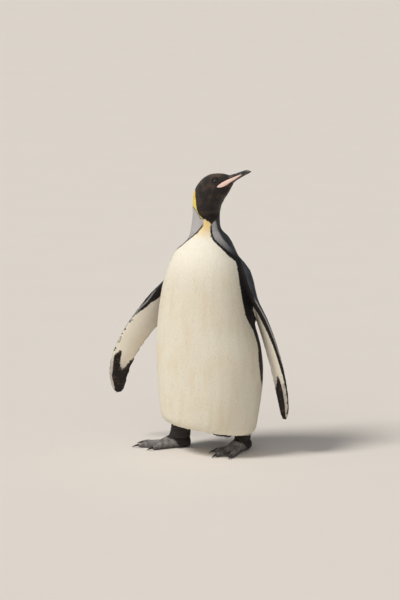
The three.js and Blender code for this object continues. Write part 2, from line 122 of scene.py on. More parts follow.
def along_surface(vectors: np.ndarray, normals: np.ndarray) -> np.ndarray:
    """Returns the vectors laid into the surface with these normals, at length one."""
    return unit(vectors - (vectors * normals).sum(1, keepdims=True) * normals)


def heading(turn: float, height: float) -> Vector:
    """Returns the way that lies this far left of the front and above the floor, in degrees."""
    turn, height = math.radians(turn), math.radians(height)
    return Vector((math.sin(turn) * math.cos(height), -math.cos(turn) * math.cos(height), math.sin(height)))


def on_map(across: np.ndarray, up: np.ndarray) -> np.ndarray:
    """Returns places on the bake's map, held a little inside its edges."""
    return np.stack([across, up], 1) * (1 - 2 * MAP_MARGIN) + MAP_MARGIN


def filled(colour: Colour, count: int) -> np.ndarray:
    """Returns one colour for each of so many points."""
    return np.tile(np.array(colour), (count, 1))


def speckle(points: np.ndarray, scale: float) -> np.ndarray:
    """A cheap smooth noise, the same on the skin and on the feathers over it.

    Args:
        points: Where it is wanted.
        scale: The rough size of its patches, in metres.

    Returns:
        A number from about -1 to 1 for each point.
    """
    turns = np.array([(1.0, 0.7, 0.3), (-0.6, 1.1, 0.5), (0.4, -0.8, 1.2), (0.9, 0.5, -1.0)])
    phase = points @ turns.T / scale
    waves = np.sin(phase * 2.1 + np.sin(phase[:, ::-1] * 1.3) * 1.7)
    return waves.mean(1) * 1.4


# ---- Materials -----------------------------------------------------------------------------------


class Signal:
    """A shader socket that Python's operators work on."""

    def __init__(self, recipe: Recipe, socket: bpy.types.NodeSocket) -> None:
        """Holds the socket and the recipe whose tree it is in."""
        self.recipe = recipe
        self.socket = socket

    def __add__(self, other: Signal | float) -> Signal:
        """Returns self + other."""
        return self.recipe.math("ADD", self, other)

    def __mul__(self, other: Signal | float) -> Signal:
        """Returns self * other."""
        return self.recipe.math("MULTIPLY", self, other)

    def __sub__(self, other: Signal | float) -> Signal:
        """Returns self - other."""
        return self.recipe.math("SUBTRACT", self, other)

    def __rsub__(self, other: float) -> Signal:
        """Returns other - self."""
        return self.recipe.math("SUBTRACT", other, self)

    __radd__ = __add__
    __rmul__ = __mul__

    def held(self) -> Signal:
        """Returns self kept between 0 and 1."""
        return self.recipe.math("ADD", self, 0.0, clamp=True)

    def step(self, low: float, high: float) -> Signal:
        """Returns a smooth step of self, from 0 at low to 1 at high."""
        made = self.recipe.node(
            "ShaderNodeMapRange",
            {"interpolation_type": "SMOOTHSTEP"},
            {"Value": self, "From Min": low, "From Max": high},
        )
        return Signal(self.recipe, made.outputs["Result"])


class Recipe:
    """A material's node tree, written as expressions."""

    def __init__(self, name: str) -> None:
        """Starts an empty material with this name."""
        self.material = bpy.data.materials.new(name)
        self.material.use_nodes = True
        self.tree = self.material.node_tree
        self.tree.nodes.clear()

    def node(self, kind: str, settings: dict[str, Any], sockets: dict[str | int, Any]) -> bpy.types.Node:
        """Adds a node.

        Args:
            kind: The node's type.
            settings: Its own options.
            sockets: A value or a signal for each input, by name or number.

        Returns:
            The new node.
        """
        made = self.tree.nodes.new(kind)
        for name, value in settings.items():
            setattr(made, name, value)
        for name, value in sockets.items():
            socket = made.inputs[name]
            if isinstance(value, Signal):
                self.tree.links.new(value.socket, socket)
            elif isinstance(value, tuple) and len(value) == 3 and socket.type == "RGBA":
                socket.default_value = (*value, 1.0)
            else:
                socket.default_value = value
        return made

    def math(self, operation: str, a: Signal | float, b: Signal | float, clamp: bool = False) -> Signal:
        """Returns the result of one Math node."""
        made = self.node("ShaderNodeMath", {"operation": operation, "use_clamp": clamp}, {0: a, 1: b})
        return Signal(self, made.outputs[0])

    def mix(self, factor: Signal | float, first: Signal | Colour, second: Signal | Colour) -> Signal:
        """Returns the colour that goes from first to second as the factor goes from 0 to 1."""
        made = self.node(
            "ShaderNodeMix",
            {"data_type": "RGBA"},
            {"Factor": factor, 6: first, 7: second},
        )
        return Signal(self, made.outputs[2])

    def shaded(self, colour: Signal | Colour, amount: Signal | float) -> Signal:
        """Returns the colour multiplied by a number."""
        made = self.node(
            "ShaderNodeVectorMath", {"operation": "SCALE"}, {0: colour, "Scale": amount}
        )
        return Signal(self, made.outputs[0])

    def brightness(self, colour: Signal) -> Signal:
        """Returns how bright a colour is."""
        return Signal(self, self.node("ShaderNodeRGBToBW", {}, {"Color": colour}).outputs[0])

    def attribute(self, name: str, output: str = "Fac") -> Signal:
        """Returns an attribute of the mesh."""
        made = self.node("ShaderNodeAttribute", {"attribute_name": name}, {})
        return Signal(self, made.outputs[output])

    def place(self, stretch: tuple[float, float, float] = (1.0, 1.0, 1.0)) -> Signal:
        """Returns the object coordinates, stretched by these factors."""
        source = self.node("ShaderNodeTexCoord", {}, {})
        made = self.node(
            "ShaderNodeMapping",
            {},
            {"Vector": Signal(self, source.outputs["Object"]), "Scale": stretch},
        )
        return Signal(self, made.outputs[0])

    def noise(self, scale: float, detail: float = 3.0, at: Signal | None = None) -> Signal:
        """Returns a noise from 0 to 1 with this many patches to the metre."""
        made = self.node(
            "ShaderNodeTexNoise",
            {},
            {"Vector": at or self.place(), "Scale": scale, "Detail": detail},
        )
        return Signal(self, made.outputs["Fac"])

    def cells(self, scale: float, feature: str = "F1", at: Signal | None = None) -> Signal:
        """Returns the distance in a field of cells, this many to the metre."""
        made = self.node(
            "ShaderNodeTexVoronoi",
            {"feature": feature},
            {"Vector": at or self.place(), "Scale": scale},
        )
        return Signal(self, made.outputs["Distance"])

    def bump(self, height: Signal, distance: float, strength: float = 1.0) -> Signal:
        """Returns the normal of a relief of this depth in metres."""
        made = self.node(
            "ShaderNodeBump", {}, {"Height": height, "Distance": distance, "Strength": strength}
        )
        return Signal(self, made.outputs["Normal"])

    def surface(self, **sockets: Any) -> bpy.types.Material:
        """Ends the recipe with a Principled surface.

        Args:
            sockets: Its inputs, with underscores for the spaces in their names.

        Returns:
            The finished material.
        """
        named = {name.replace("_", " "): value for name, value in sockets.items()}
        shader = self.node("ShaderNodeBsdfPrincipled", {}, named)
        self.node(
            "ShaderNodeOutputMaterial", {}, {"Surface": Signal(self, shader.outputs[0])}
        )
        return self.material


@dataclass(frozen=True)
class PlumageFinish:
    """Feather vanes, each painted by its place on the bird. Pale ones vary less than dark ones."""

    name: str
    root_shade: float = 0.6
    tip_shade: float = 1.22
    uneven: float = 0.10
    mottle: float = 0.12
    calm: float = 0.88  # how much less a white feather varies
    roughness: float = 0.74
    gloss: float = 0.10  # how much smoother a black feather is
    sheen: float = 0.05

    def material(self) -> bpy.types.Material:
        """Returns the finish as a material."""
        recipe = Recipe(self.name)
        painted = recipe.attribute("plumage", "Color")
        along = recipe.attribute("along")
        tone = recipe.attribute("tone")
        cloud = recipe.noise(900.0, 2.0)
        paleness = recipe.brightness(painted).step(0.08, 0.5)
        varied = (self.root_shade - 1) + (self.tip_shade - self.root_shade) * along.step(0.1, 0.9)
        varied = varied + self.uneven * tone + self.mottle * (cloud - 0.5)
        shade = 1.0 + varied * (1.0 - self.calm * paleness)
        barbs = recipe.noise(2600.0, 2.0)
        return recipe.surface(
            Base_Color=recipe.shaded(painted, shade),
            Roughness=(self.roughness - self.gloss * (1.0 - paleness) + 0.2 * (cloud - 0.5)).held(),
            Normal=recipe.bump(barbs, 0.00010, 0.35),
            Specular_IOR_Level=0.26,
            Sheen_Weight=self.sheen,
            Sheen_Roughness=0.5,
        )


@dataclass(frozen=True)
class SkinFinish:
    """The skin under the plumage, in the plumage's own colours, and the bare scaled skin of the feet."""

    name: str
    # the dark joints between scales, also used as painted shadow in the feet's grooves
    dark_joint_and_shade: Colour = srgb(30, 28, 29)

    def material(self) -> bpy.types.Material:
        """Returns the finish as a material."""
        recipe = Recipe(self.name)
        painted = recipe.attribute("plumage", "Color")
        bare = recipe.attribute("bare")
        down = recipe.noise(500.0, 4.0)
        scales = recipe.cells(420.0, "DISTANCE_TO_EDGE")
        worn = recipe.shaded(painted, 0.75 + 0.4 * recipe.noise(160.0, 4.0))
        foot = recipe.mix(scales.step(0.0, 0.16), self.dark_joint_and_shade, worn)
        # painted shadow in the feet's grooves, in the dark colour of the joints between scales
        foot = recipe.mix(recipe.attribute("hollow"), foot, self.dark_joint_and_shade)
        plumage = recipe.shaded(painted, 0.82 + 0.2 * down)
        relief = recipe.math("MULTIPLY", bare, scales.step(0.0, 0.3)) + down * 0.3
        return recipe.surface(
            Base_Color=recipe.mix(bare, plumage, foot),
            Roughness=(0.85 - 0.2 * bare + 0.2 * (down - 0.5)).held(),
            Normal=recipe.bump(relief, 0.0006, 0.8),
            Specular_IOR_Level=0.3,
        )


@dataclass(frozen=True)
class HornFinish:
    """Horn with long fibres: the bill, its plates and the claws."""

    name: str
    colour: Colour
    light: Colour
    roughness: float = 0.36
    coat: float = 0.25
    grain: float = 160.0

    def material(self) -> bpy.types.Material:
        """Returns the finish as a material."""
        recipe = Recipe(self.name)
        cloud = recipe.noise(self.grain, 4.0)
        fibre = recipe.noise(self.grain * 8, 3.0, recipe.place((0.25, 1.0, 1.0)))
        worn = (cloud.step(0.45, 0.75) * 0.8 + fibre.step(0.5, 0.8) * 0.3).held()
        return recipe.surface(
            Base_Color=recipe.mix(worn, self.colour, self.light),
            Roughness=(self.roughness + 0.25 * (cloud - 0.5) + 0.15 * fibre).held(),
            Normal=recipe.bump(cloud * 0.6 + fibre * 0.4, 0.0004, 0.5),
            Coat_Weight=self.coat,
            Coat_Roughness=0.25,
        )


@dataclass(frozen=True)
class EyeFinish:
    """The wet ball of the eye, with its iris round a black pupil."""

    name: str
    pupil: Colour = srgb(6, 5, 5)
    iris: Colour = srgb(48, 29, 19)
    rim: Colour = srgb(18, 12, 10)

    def material(self) -> bpy.types.Material:
        """Returns the finish as a material."""
        recipe = Recipe(self.name)
        across = recipe.attribute("across")
        rays = recipe.noise(2200.0, 3.0)
        iris = recipe.mix(rays, self.rim, self.iris)
        inner = recipe.mix(across.step(0.27, 0.31), self.pupil, iris)
        return recipe.surface(
            Base_Color=recipe.mix(across.step(0.58, 0.68), inner, self.rim),
            Roughness=(0.05 + 0.05 * rays).held(),
            Coat_Weight=1.0,
            Coat_Roughness=0.03,
        )


@dataclass(frozen=True)
class LidFinish:
    """The bare rim of the eyelids."""

    name: str
    colour: Colour = srgb(20, 16, 15)
    light: Colour = srgb(34, 28, 25)

    def material(self) -> bpy.types.Material:
        """Returns the finish as a material."""
        recipe = Recipe(self.name)
        grain = recipe.noise(1800.0, 4.0)
        return recipe.surface(
            Base_Color=recipe.mix(grain.step(0.35, 0.75), self.colour, self.light),
            Roughness=(0.5 + 0.25 * (grain - 0.5)).held(),
            Normal=recipe.bump(grain, 0.0003, 0.7),
        )


@dataclass(frozen=True)
class FloorFinish:
    """A plain pale studio floor."""

    name: str
    colour: Colour = srgb(241, 235, 229)

    def material(self) -> bpy.types.Material:
        """Returns the finish as a material."""
        recipe = Recipe(self.name)
        cloud = recipe.noise(3.0, 3.0)
        return recipe.surface(
            Base_Color=recipe.shaded(self.colour, 0.985 + 0.03 * cloud), Roughness=0.9
        )


# ---- Meshes --------------------------------------------------------------------------------------


def numbers(data: Any, name: str, width: int) -> np.ndarray:
    """Returns one property of a mesh's elements as an array of this width."""
    kind = np.int32 if name in ("vertices", "vertex_index") else np.float32
    flat = np.empty(len(data) * width, kind)
    data.foreach_get(name, flat)
    return flat.reshape(-1, width) if width > 1 else flat


def paint(mesh: bpy.types.Mesh, name: str, values: np.ndarray) -> None:
    """Stores a number or a colour on each vertex of a mesh.

    Args:
        mesh: The mesh.
        name: The attribute's name.
        values: One number, or red, green and blue, for each vertex.
    """
    if values.ndim == 1:
        made = mesh.attributes.new(name, "FLOAT", "POINT")
        made.data.foreach_set("value", values.astype(np.float32))
        return
    made = mesh.attributes.new(name, "FLOAT_COLOR", "POINT")
    full = np.ones((len(values), 4), np.float32)
    full[:, :3] = values
    made.data.foreach_set("color", full.ravel())


def surface_tree(mesh: bpy.types.Mesh, at: np.ndarray) -> BVHTree:
    """Returns a search tree of a mesh's faces, with its vertices at these places."""
    return BVHTree.FromPolygons(at.tolist(), [tuple(face.vertices) for face in mesh.polygons])


def mesh_from(net: bmesh.types.BMesh, name: str) -> bpy.types.Mesh:
    """Turns a bmesh into a mesh and frees it.

    Args:
        net: The bmesh.
        name: The mesh's name.

    Returns:
        The mesh.
    """
    mesh = bpy.data.meshes.new(name)
    net.to_mesh(mesh)
    net.free()
    return mesh


def modified(
    mesh: bpy.types.Mesh, kind: str, settings: dict[str, Any], group: np.ndarray | None = None
) -> bpy.types.Mesh:
    """Runs a mesh through one modifier.

    Args:
        mesh: The mesh.
        kind: The modifier's type.
        settings: Its options.
        group: The numbers of the vertices in its vertex group, if it has one.

    Returns:
        A new mesh.
    """
    holder = bpy.data.objects.new("holder", mesh)
    bpy.context.scene.collection.objects.link(holder)
    modifier = holder.modifiers.new(kind.lower(), kind)
    if group is not None:
        named = holder.vertex_groups.new(name="chosen")
        named.add(group.tolist(), 1.0, "REPLACE")
        modifier.vertex_group = named.name
    for name, value in settings.items():
        setattr(modifier, name, value)
    graph = bpy.context.evaluated_depsgraph_get()
    made = bpy.data.meshes.new_from_object(holder.evaluated_get(graph))
    bpy.data.objects.remove(holder)
    return made


def add_piece(
    name: str, mesh: bpy.types.Mesh, finish: bpy.types.Material
) -> bpy.types.Object:
    """Puts a finished mesh into the scene as a piece of the bird.

    Args:
        name: The piece's name.
        mesh: Its mesh, already in place.
        finish: Its material.

    Returns:
        The piece.
    """
    mesh.name = name
    mesh.materials.clear()
    mesh.materials.append(finish)
    piece = bpy.data.objects.new(name, mesh)
    bpy.context.scene.collection.objects.link(piece)
    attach(piece, BODY)
    log.info("%s: %d triangles", name, len(mesh.loops) - 2 * len(mesh.polygons))
    return piece


def welded(nodes: Iterable[bpy.types.Object], swell: dict[str, float] | float) -> bpy.types.Mesh:
    """Copies CAD nodes into one mesh, with their loose triangles merged.

    Args:
        nodes: The CAD nodes.
        swell: How far each copy is grown along its normals, for all or by node name.

    Returns:
        The joined mesh.
    """
    whole = bpy.data.meshes.new("welded")
    gathered = bmesh.new()
    for node in nodes:
        part = bmesh.new()
        part.from_mesh(node.data)
        bmesh.ops.remove_doubles(part, verts=part.verts, dist=1e-5)
        part.normal_update()
        grow = swell[node.name] if isinstance(swell, dict) else swell
        for vertex in part.verts:
            vertex.co += vertex.normal * grow
        part.to_mesh(whole)
        part.free()
        gathered.from_mesh(whole)
    gathered.to_mesh(whole)
    gathered.free()
    return whole


def remeshed(mesh: bpy.types.Mesh, voxel: float) -> bpy.types.Mesh:
    """Returns a mesh's outer surface as an even net of quads, without loose scraps.

    Args:
        mesh: One or more closed shells, which may overlap.
        voxel: The net's pitch.

    Returns:
        A new mesh.
    """
    return largest_shell(modified(mesh, "REMESH", {"mode": "VOXEL", "voxel_size": voxel}))


def largest_shell(mesh: bpy.types.Mesh) -> bpy.types.Mesh:
    """Removes all but the shell with the most vertices from a mesh, and returns it."""
    net = bmesh.new()
    net.from_mesh(mesh)
    unseen = set(net.verts)
    shells: list[list[bmesh.types.BMVert]] = []
    while unseen:
        todo = [unseen.pop()]
        shell = []
        while todo:
            vertex = todo.pop()
            shell.append(vertex)
            for edge in vertex.link_edges:
                other = edge.other_vert(vertex)
                if other in unseen:
                    unseen.remove(other)
                    todo.append(other)
        shells.append(shell)
    shells.sort(key=len)
    for shell in shells[:-1]:
        bmesh.ops.delete(net, geom=shell, context="VERTS")
    net.to_mesh(mesh)
    net.free()
    return mesh


class Net:
    """A mesh's vertices as arrays that can be smoothed and moved together."""

    def __init__(self, mesh: bpy.types.Mesh) -> None:
        """Reads the mesh."""
        self.mesh = mesh
        self.at = numbers(mesh.vertices, "co", 3).astype(float)
        self.edges = numbers(mesh.edges, "vertices", 2)
        self.links = np.bincount(self.edges.ravel(), minlength=len(self.at)).astype(float)

    def averaged(self, values: np.ndarray) -> np.ndarray:
        """Returns for each vertex the mean value of its neighbours."""
        a, b = self.edges.T
        total = [
            np.bincount(a, column[b], len(self.at)) + np.bincount(b, column[a], len(self.at))
            for column in values.reshape(len(self.at), -1).T
        ]
        return (np.stack(total, 1) / self.links[:, None]).reshape(values.shape)

    def spread(self, values: np.ndarray, passes: int) -> np.ndarray:
        """Returns the values evened out over the surface by this many passes."""
        for _ in range(passes):
            values = 0.5 * values + 0.5 * self.averaged(values)
        return values

    def smooth(self, passes: np.ndarray) -> None:
        """Smooths each vertex's place by its own number of passes."""
        for done in range(int(passes.max())):
            share = 0.5 * np.clip(passes - done, 0, 1)[:, None]
            self.at += share * (self.averaged(self.at) - self.at)
        self.write()

    def write(self) -> None:
        """Writes the places back to the mesh."""
        self.mesh.vertices.foreach_set("co", self.at.astype(np.float32).ravel())
        self.mesh.update()

    def normals(self) -> np.ndarray:
        """Returns the vertices' normals."""
        return numbers(self.mesh.vertex_normals, "vector", 3).astype(float)


# ---- The bird's own lines and markings -----------------------------------------------------------


class Tract(Enum):
    """A tract of the skin, named after the solid that it covers."""

    TRUNK = "trunk"
    NECK = "neck"
    HEAD = "head"
    TAIL = "tail"
    FLIPPER_LEFT = "flipper_left"
    FLIPPER_RIGHT = "flipper_right"
    LEG_LEFT = "leg_left"
    LEG_RIGHT = "leg_right"
    FOOT_LEFT = "foot_left"
    FOOT_RIGHT = "foot_right"

    @property
    def kind(self) -> str:
        """The tract's name without its side."""
        return self.value.split("_")[0]


TRACTS = list(Tract)
FLIPPERS = (Tract.FLIPPER_LEFT, Tract.FLIPPER_RIGHT)
LEGS = (Tract.LEG_LEFT, Tract.LEG_RIGHT)
FEET = (Tract.FOOT_LEFT, Tract.FOOT_RIGHT)


def tract_mask(tracts: np.ndarray, *wanted: Tract) -> np.ndarray:
    """Returns where a list of tract numbers holds one of those wanted."""
    return np.isin(tracts, [TRACTS.index(tract) for tract in wanted])


@dataclass
class FlipperLine:
    """A flipper's middle line and chords, read from slices of its solid."""

    node: bpy.types.Object
    slices: int = 14
    root: np.ndarray = field(init=False)
    axis: np.ndarray = field(init=False)
    length: float = field(init=False)

    def __post_init__(self) -> None:
        """Slices the solid across its long axis."""
        points = numbers(self.node.data.vertices, "co", 3).astype(float)
        faces = numbers(self.node.data.loops, "vertex_index", 1).reshape(-1, 3)
        middle = points.mean(0)
        axis = np.linalg.svd(points - middle, full_matrices=False)[2][0]
        self.axis = axis if axis[2] < 0 else -axis
        along = points @ self.axis
        self.length = float(np.ptp(along))
        self.root = middle + self.axis * (along.min() - middle @ self.axis)
        self.places = np.linspace(0.03, 0.97, self.slices)
        rows = [self._slice(points, faces, along.min() + place * self.length) for place in self.places]
        self.middles, self.chords, self.halves = (np.array(column) for column in zip(*rows, strict=True))

    def _slice(
        self, points: np.ndarray, faces: np.ndarray, level: float
    ) -> tuple[np.ndarray, np.ndarray, float]:
        """Returns one slice's middle, its chord's way to the trailing edge, and half that chord."""
        ends = np.concatenate([faces[:, [0, 1]], faces[:, [1, 2]], faces[:, [2, 0]]])
        off = points @ self.axis - level
        a, b = ends[(off[ends[:, 0]] < 0) != (off[ends[:, 1]] < 0)].T
        share = (off[a] / (off[a] - off[b]))[:, None]
        cut = points[a] + share * (points[b] - points[a])
        centre = cut.mean(0)
        chord = np.linalg.svd(cut - centre, full_matrices=False)[2][0]
        chord = chord if chord[1] > 0 else -chord
        reach = (cut - centre) @ chord
        return centre + chord * (reach.max() + reach.min()) / 2, chord, float(np.ptp(reach)) / 2

    def measure(self, points: np.ndarray) -> tuple[np.ndarray, np.ndarray, np.ndarray]:
        """Measures points on the flipper.

        Args:
            points: Points on or near it.

        Returns:
            The way from root to tip, the way from the leading to the trailing edge, and how far each
            point is on the side that faces the body, all as shares.
        """
        along = (points - self.root) @ self.axis / self.length
        middle = np.stack([np.interp(along, self.places, column) for column in self.middles.T], 1)
        chord = unit(np.stack([np.interp(along, self.places, column) for column in self.chords.T], 1))
        half = np.interp(along, self.places, self.halves)
        under = unit(np.cross(self.axis, chord))
        under *= np.where(under[:, 1] > 0, -1, 1)[:, None]
        off = points - middle
        return along, (off * chord).sum(1) / (2 * half) + 0.5, (off * under).sum(1) / half

    def flow(self, points: np.ndarray) -> np.ndarray:
        """Returns the way that the feathers point: to the tip, and a little to the trailing edge."""
        along = (points - self.root) @ self.axis / self.length
        chord = np.stack([np.interp(along, self.places, column) for column in self.chords.T], 1)
        return unit(self.axis + 0.28 * unit(chord))


@dataclass
class Anatomy:
    """The lines of the bird that its markings and the lie of its feathers follow."""

    nodes: dict[str, bpy.types.Object]
    # the body's middle, from the belly to the crown, as height and x or y
    middle_x: Stations = (
        (0.08, 0.042), (0.19, 0.051), (0.25, 0.050), (0.31, 0.047), (0.37, 0.043), (0.44, 0.041),
        (0.55, 0.0425), (0.62, 0.0465), (0.69, 0.045), (0.74, 0.0465), (0.79, 0.063),
    )
    middle_y: Stations = (
        (0.08, 0.0045), (0.25, 0.0015), (0.37, -0.0025), (0.50, -0.0095), (0.59, -0.0155),
        (0.64, -0.0185), (0.72, -0.020), (0.79, -0.024),
    )
    feathers_end: float = 0.036  # ahead of the gape, along the bill

    def __post_init__(self) -> None:
        """Finds the bill's line and the flippers' lines."""
        upper = numbers(self.nodes["bill_upper"].data.vertices, "co", 3).astype(float)
        head = numbers(self.nodes["head"].data.vertices, "co", 3).astype(float)
        self.head_middle = (head.min(0) + head.max(0)) / 2
        away = np.linalg.norm(upper - self.head_middle, axis=1)
        self.bill_tip = upper[away.argmax()]
        eyes = [np.array(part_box(name)).mean(0) for name in ("eye_left", "eye_right")]
        self.eye_middle = np.mean(eyes, 0)
        ahead = self.bill_tip - self.eye_middle
        self.bill_way = ahead / np.linalg.norm(ahead)
        self.bill_root = self.eye_middle + self.bill_way * self.feathers_end
        self.flippers = {tract: FlipperLine(self.nodes[tract.value]) for tract in FLIPPERS}

    def round_body(self, points: np.ndarray) -> tuple[np.ndarray, np.ndarray]:
        """Returns each point's angle round the body, in degrees from front to left, and its radius."""
        x = points[:, 0] - curve(points[:, 2], self.middle_x)
        y = points[:, 1] - curve(points[:, 2], self.middle_y)
        return np.degrees(np.arctan2(x, -y)), np.hypot(x, y)

    def ahead_of_ankle(self, points: np.ndarray, foot: Tract) -> np.ndarray:
        """Returns how far each point lies ahead of its ankle, towards the toes."""
        leg = numbers(self.nodes[foot.value.replace("foot", "leg")].data.vertices, "co", 3)
        ankle = leg[leg[:, 2] < leg[:, 2].min() + 0.012].mean(0)
        toe = np.array(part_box(foot.value.replace("foot", "claw") + "_middle")).mean(0)
        forward = unit((toe - ankle)[None, :2])[0]
        return (points[:, :2] - ankle[:2]) @ forward

    def flow(self, points: np.ndarray, tracts: np.ndarray) -> np.ndarray:
        """The way that feathers point, before it is laid into the surface.

        Args:
            points: Points on the skin.
            tracts: Their tract numbers.

        Returns:
            A vector for each point.
        """
        way = np.tile(np.array([0.0, 0.30, -1.0]), (len(points), 1))
        head = tract_mask(tracts, Tract.HEAD)
        way[head] = unit(points[head] - self.bill_root) + np.array([0.0, 0.0, -0.15])
        tail = tract_mask(tracts, Tract.TAIL)
        way[tail] = (0.0, 0.12, -1.0)
        legs = tract_mask(tracts, *LEGS)
        way[legs] = (0.0, 0.0, -1.0)
        for tract, line in self.flippers.items():
            on = tract_mask(tracts, tract)
            way[on] = line.flow(points[on])
        for tract in FEET:
            on = tract_mask(tracts, tract)
            leg = np.array(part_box(tract.value.replace("foot", "leg"))).mean(0)
            way[on] = unit(points[on] - leg) * (1, 1, 0.2)
        return way


@dataclass(frozen=True)
class Palette:
    """The colours of the plumage."""

    hood: Colour = srgb(32, 24, 20)
    # brown mottle on the hood and the flippers' tips, and the painted highlight on the hood's crown
    hood_light: Colour = srgb(104, 80, 66)
    ear: Colour = srgb(240, 216, 104)
    ear_deep: Colour = srgb(240, 200, 84)
    throat: Colour = srgb(254, 224, 156)
    cream: Colour = srgb(255, 250, 236)
    belly: Colour = srgb(233, 227, 210)
    stain: Colour = srgb(226, 208, 176)
    line: Colour = srgb(22, 21, 23)
    nape: Colour = srgb(192, 189, 190)
    slate: Colour = srgb(116, 122, 132)
    neck: Colour = srgb(52, 56, 63)
    # painted shade on the bird's left side, high on the trunk
    shoulder_shade: Colour = srgb(38, 39, 43)
    slate_dark: Colour = srgb(76, 81, 90)
    flipper: Colour = srgb(58, 62, 70)
    under: Colour = srgb(246, 238, 222)
    under_tan: Colour = srgb(206, 188, 156)
    under_shade: Colour = srgb(150, 128, 102)
    band: Colour = srgb(26, 21, 20)
    edge: Colour = srgb(168, 166, 166)
    edge_tip: Colour = srgb(198, 191, 180)
    leg: Colour = srgb(48, 43, 41)
    foot: Colour = srgb(88, 85, 87)
    # the feet's dust, also used as painted light on their tops
    foot_dust: Colour = srgb(176, 171, 168)
    tail: Colour = srgb(46, 45, 48)


@dataclass(frozen=True)
class FlipperMarks:
    """The marks on one flipper, as shares of its length and of its chord from the leading edge."""

    band: Stations  # how far across the dark leading band reaches, by the way along
    tip_start: Stations  # how far along the dark tip begins, by the way across
    pale_edge: Stations  # how far across the pale leading edge reaches, by the way along
    edge_line: Stations = ((0.06, 0.0), (0.12, 0.09), (0.36, 0.07), (0.60, 0.03), (0.75, 0.0))
    fleck_zone: tuple[float, float] = (0.34, 0.74)
    fleck_width: float = 0.17
    tan: float = 0.6  # how strongly the trailing side is tanned
    shade: Stations = ((0.0, 0.0), (1.0, 0.0))  # how strong the painted shadow along the trailing edge is, by the way along
    trail: tuple[float, float] = (0.05, 0.10)  # where the upper side's white trailing edge begins


MARKS = {
    Tract.FLIPPER_RIGHT: FlipperMarks(
        band=(
            (0.0, 0.62), (0.17, 0.41), (0.23, 0.25), (0.30, 0.19), (0.36, 0.11), (0.42, 0.03), (1.0, 0.02)
        ),
        tip_start=(
            (0.11, 0.75), (0.22, 0.71), (0.38, 0.70), (0.46, 0.77), (0.56, 0.80), (0.66, 0.815),
            (0.76, 0.78), (0.84, 0.735), (1.0, 0.685),
        ),
        pale_edge=((0.70, 0.09), (0.76, 0.13), (0.85, 0.20), (0.92, 0.20), (0.96, 0.30), (1.0, 0.42)),
    ),
    Tract.FLIPPER_LEFT: FlipperMarks(
        band=(
            (0.0, 1.2), (0.25, 1.1), (0.29, 0.68), (0.33, 0.44), (0.41, 0.34), (0.55, 0.24),
            (0.69, 0.19), (0.80, 0.12), (1.0, 0.06),
        ),
        tip_start=((0.30, 1.02), (0.35, 0.83), (0.42, 0.76), (0.60, 0.745), (0.78, 0.785), (1.0, 0.83)),
        pale_edge=((0.70, 0.0), (1.0, 0.0)),
        edge_line=((0.22, 0.0), (0.30, 0.05), (0.50, 0.07), (0.66, 0.05), (0.75, 0.0)),
        fleck_zone=(0.62, 1.0),
        fleck_width=0.36,
        tan=0.12,
        shade=((0.26, 0.0), (0.30, 0.75), (0.45, 0.6), (0.53, 0.0), (1.0, 0.0)),
        trail=(0.36, 0.45),
    ),
}


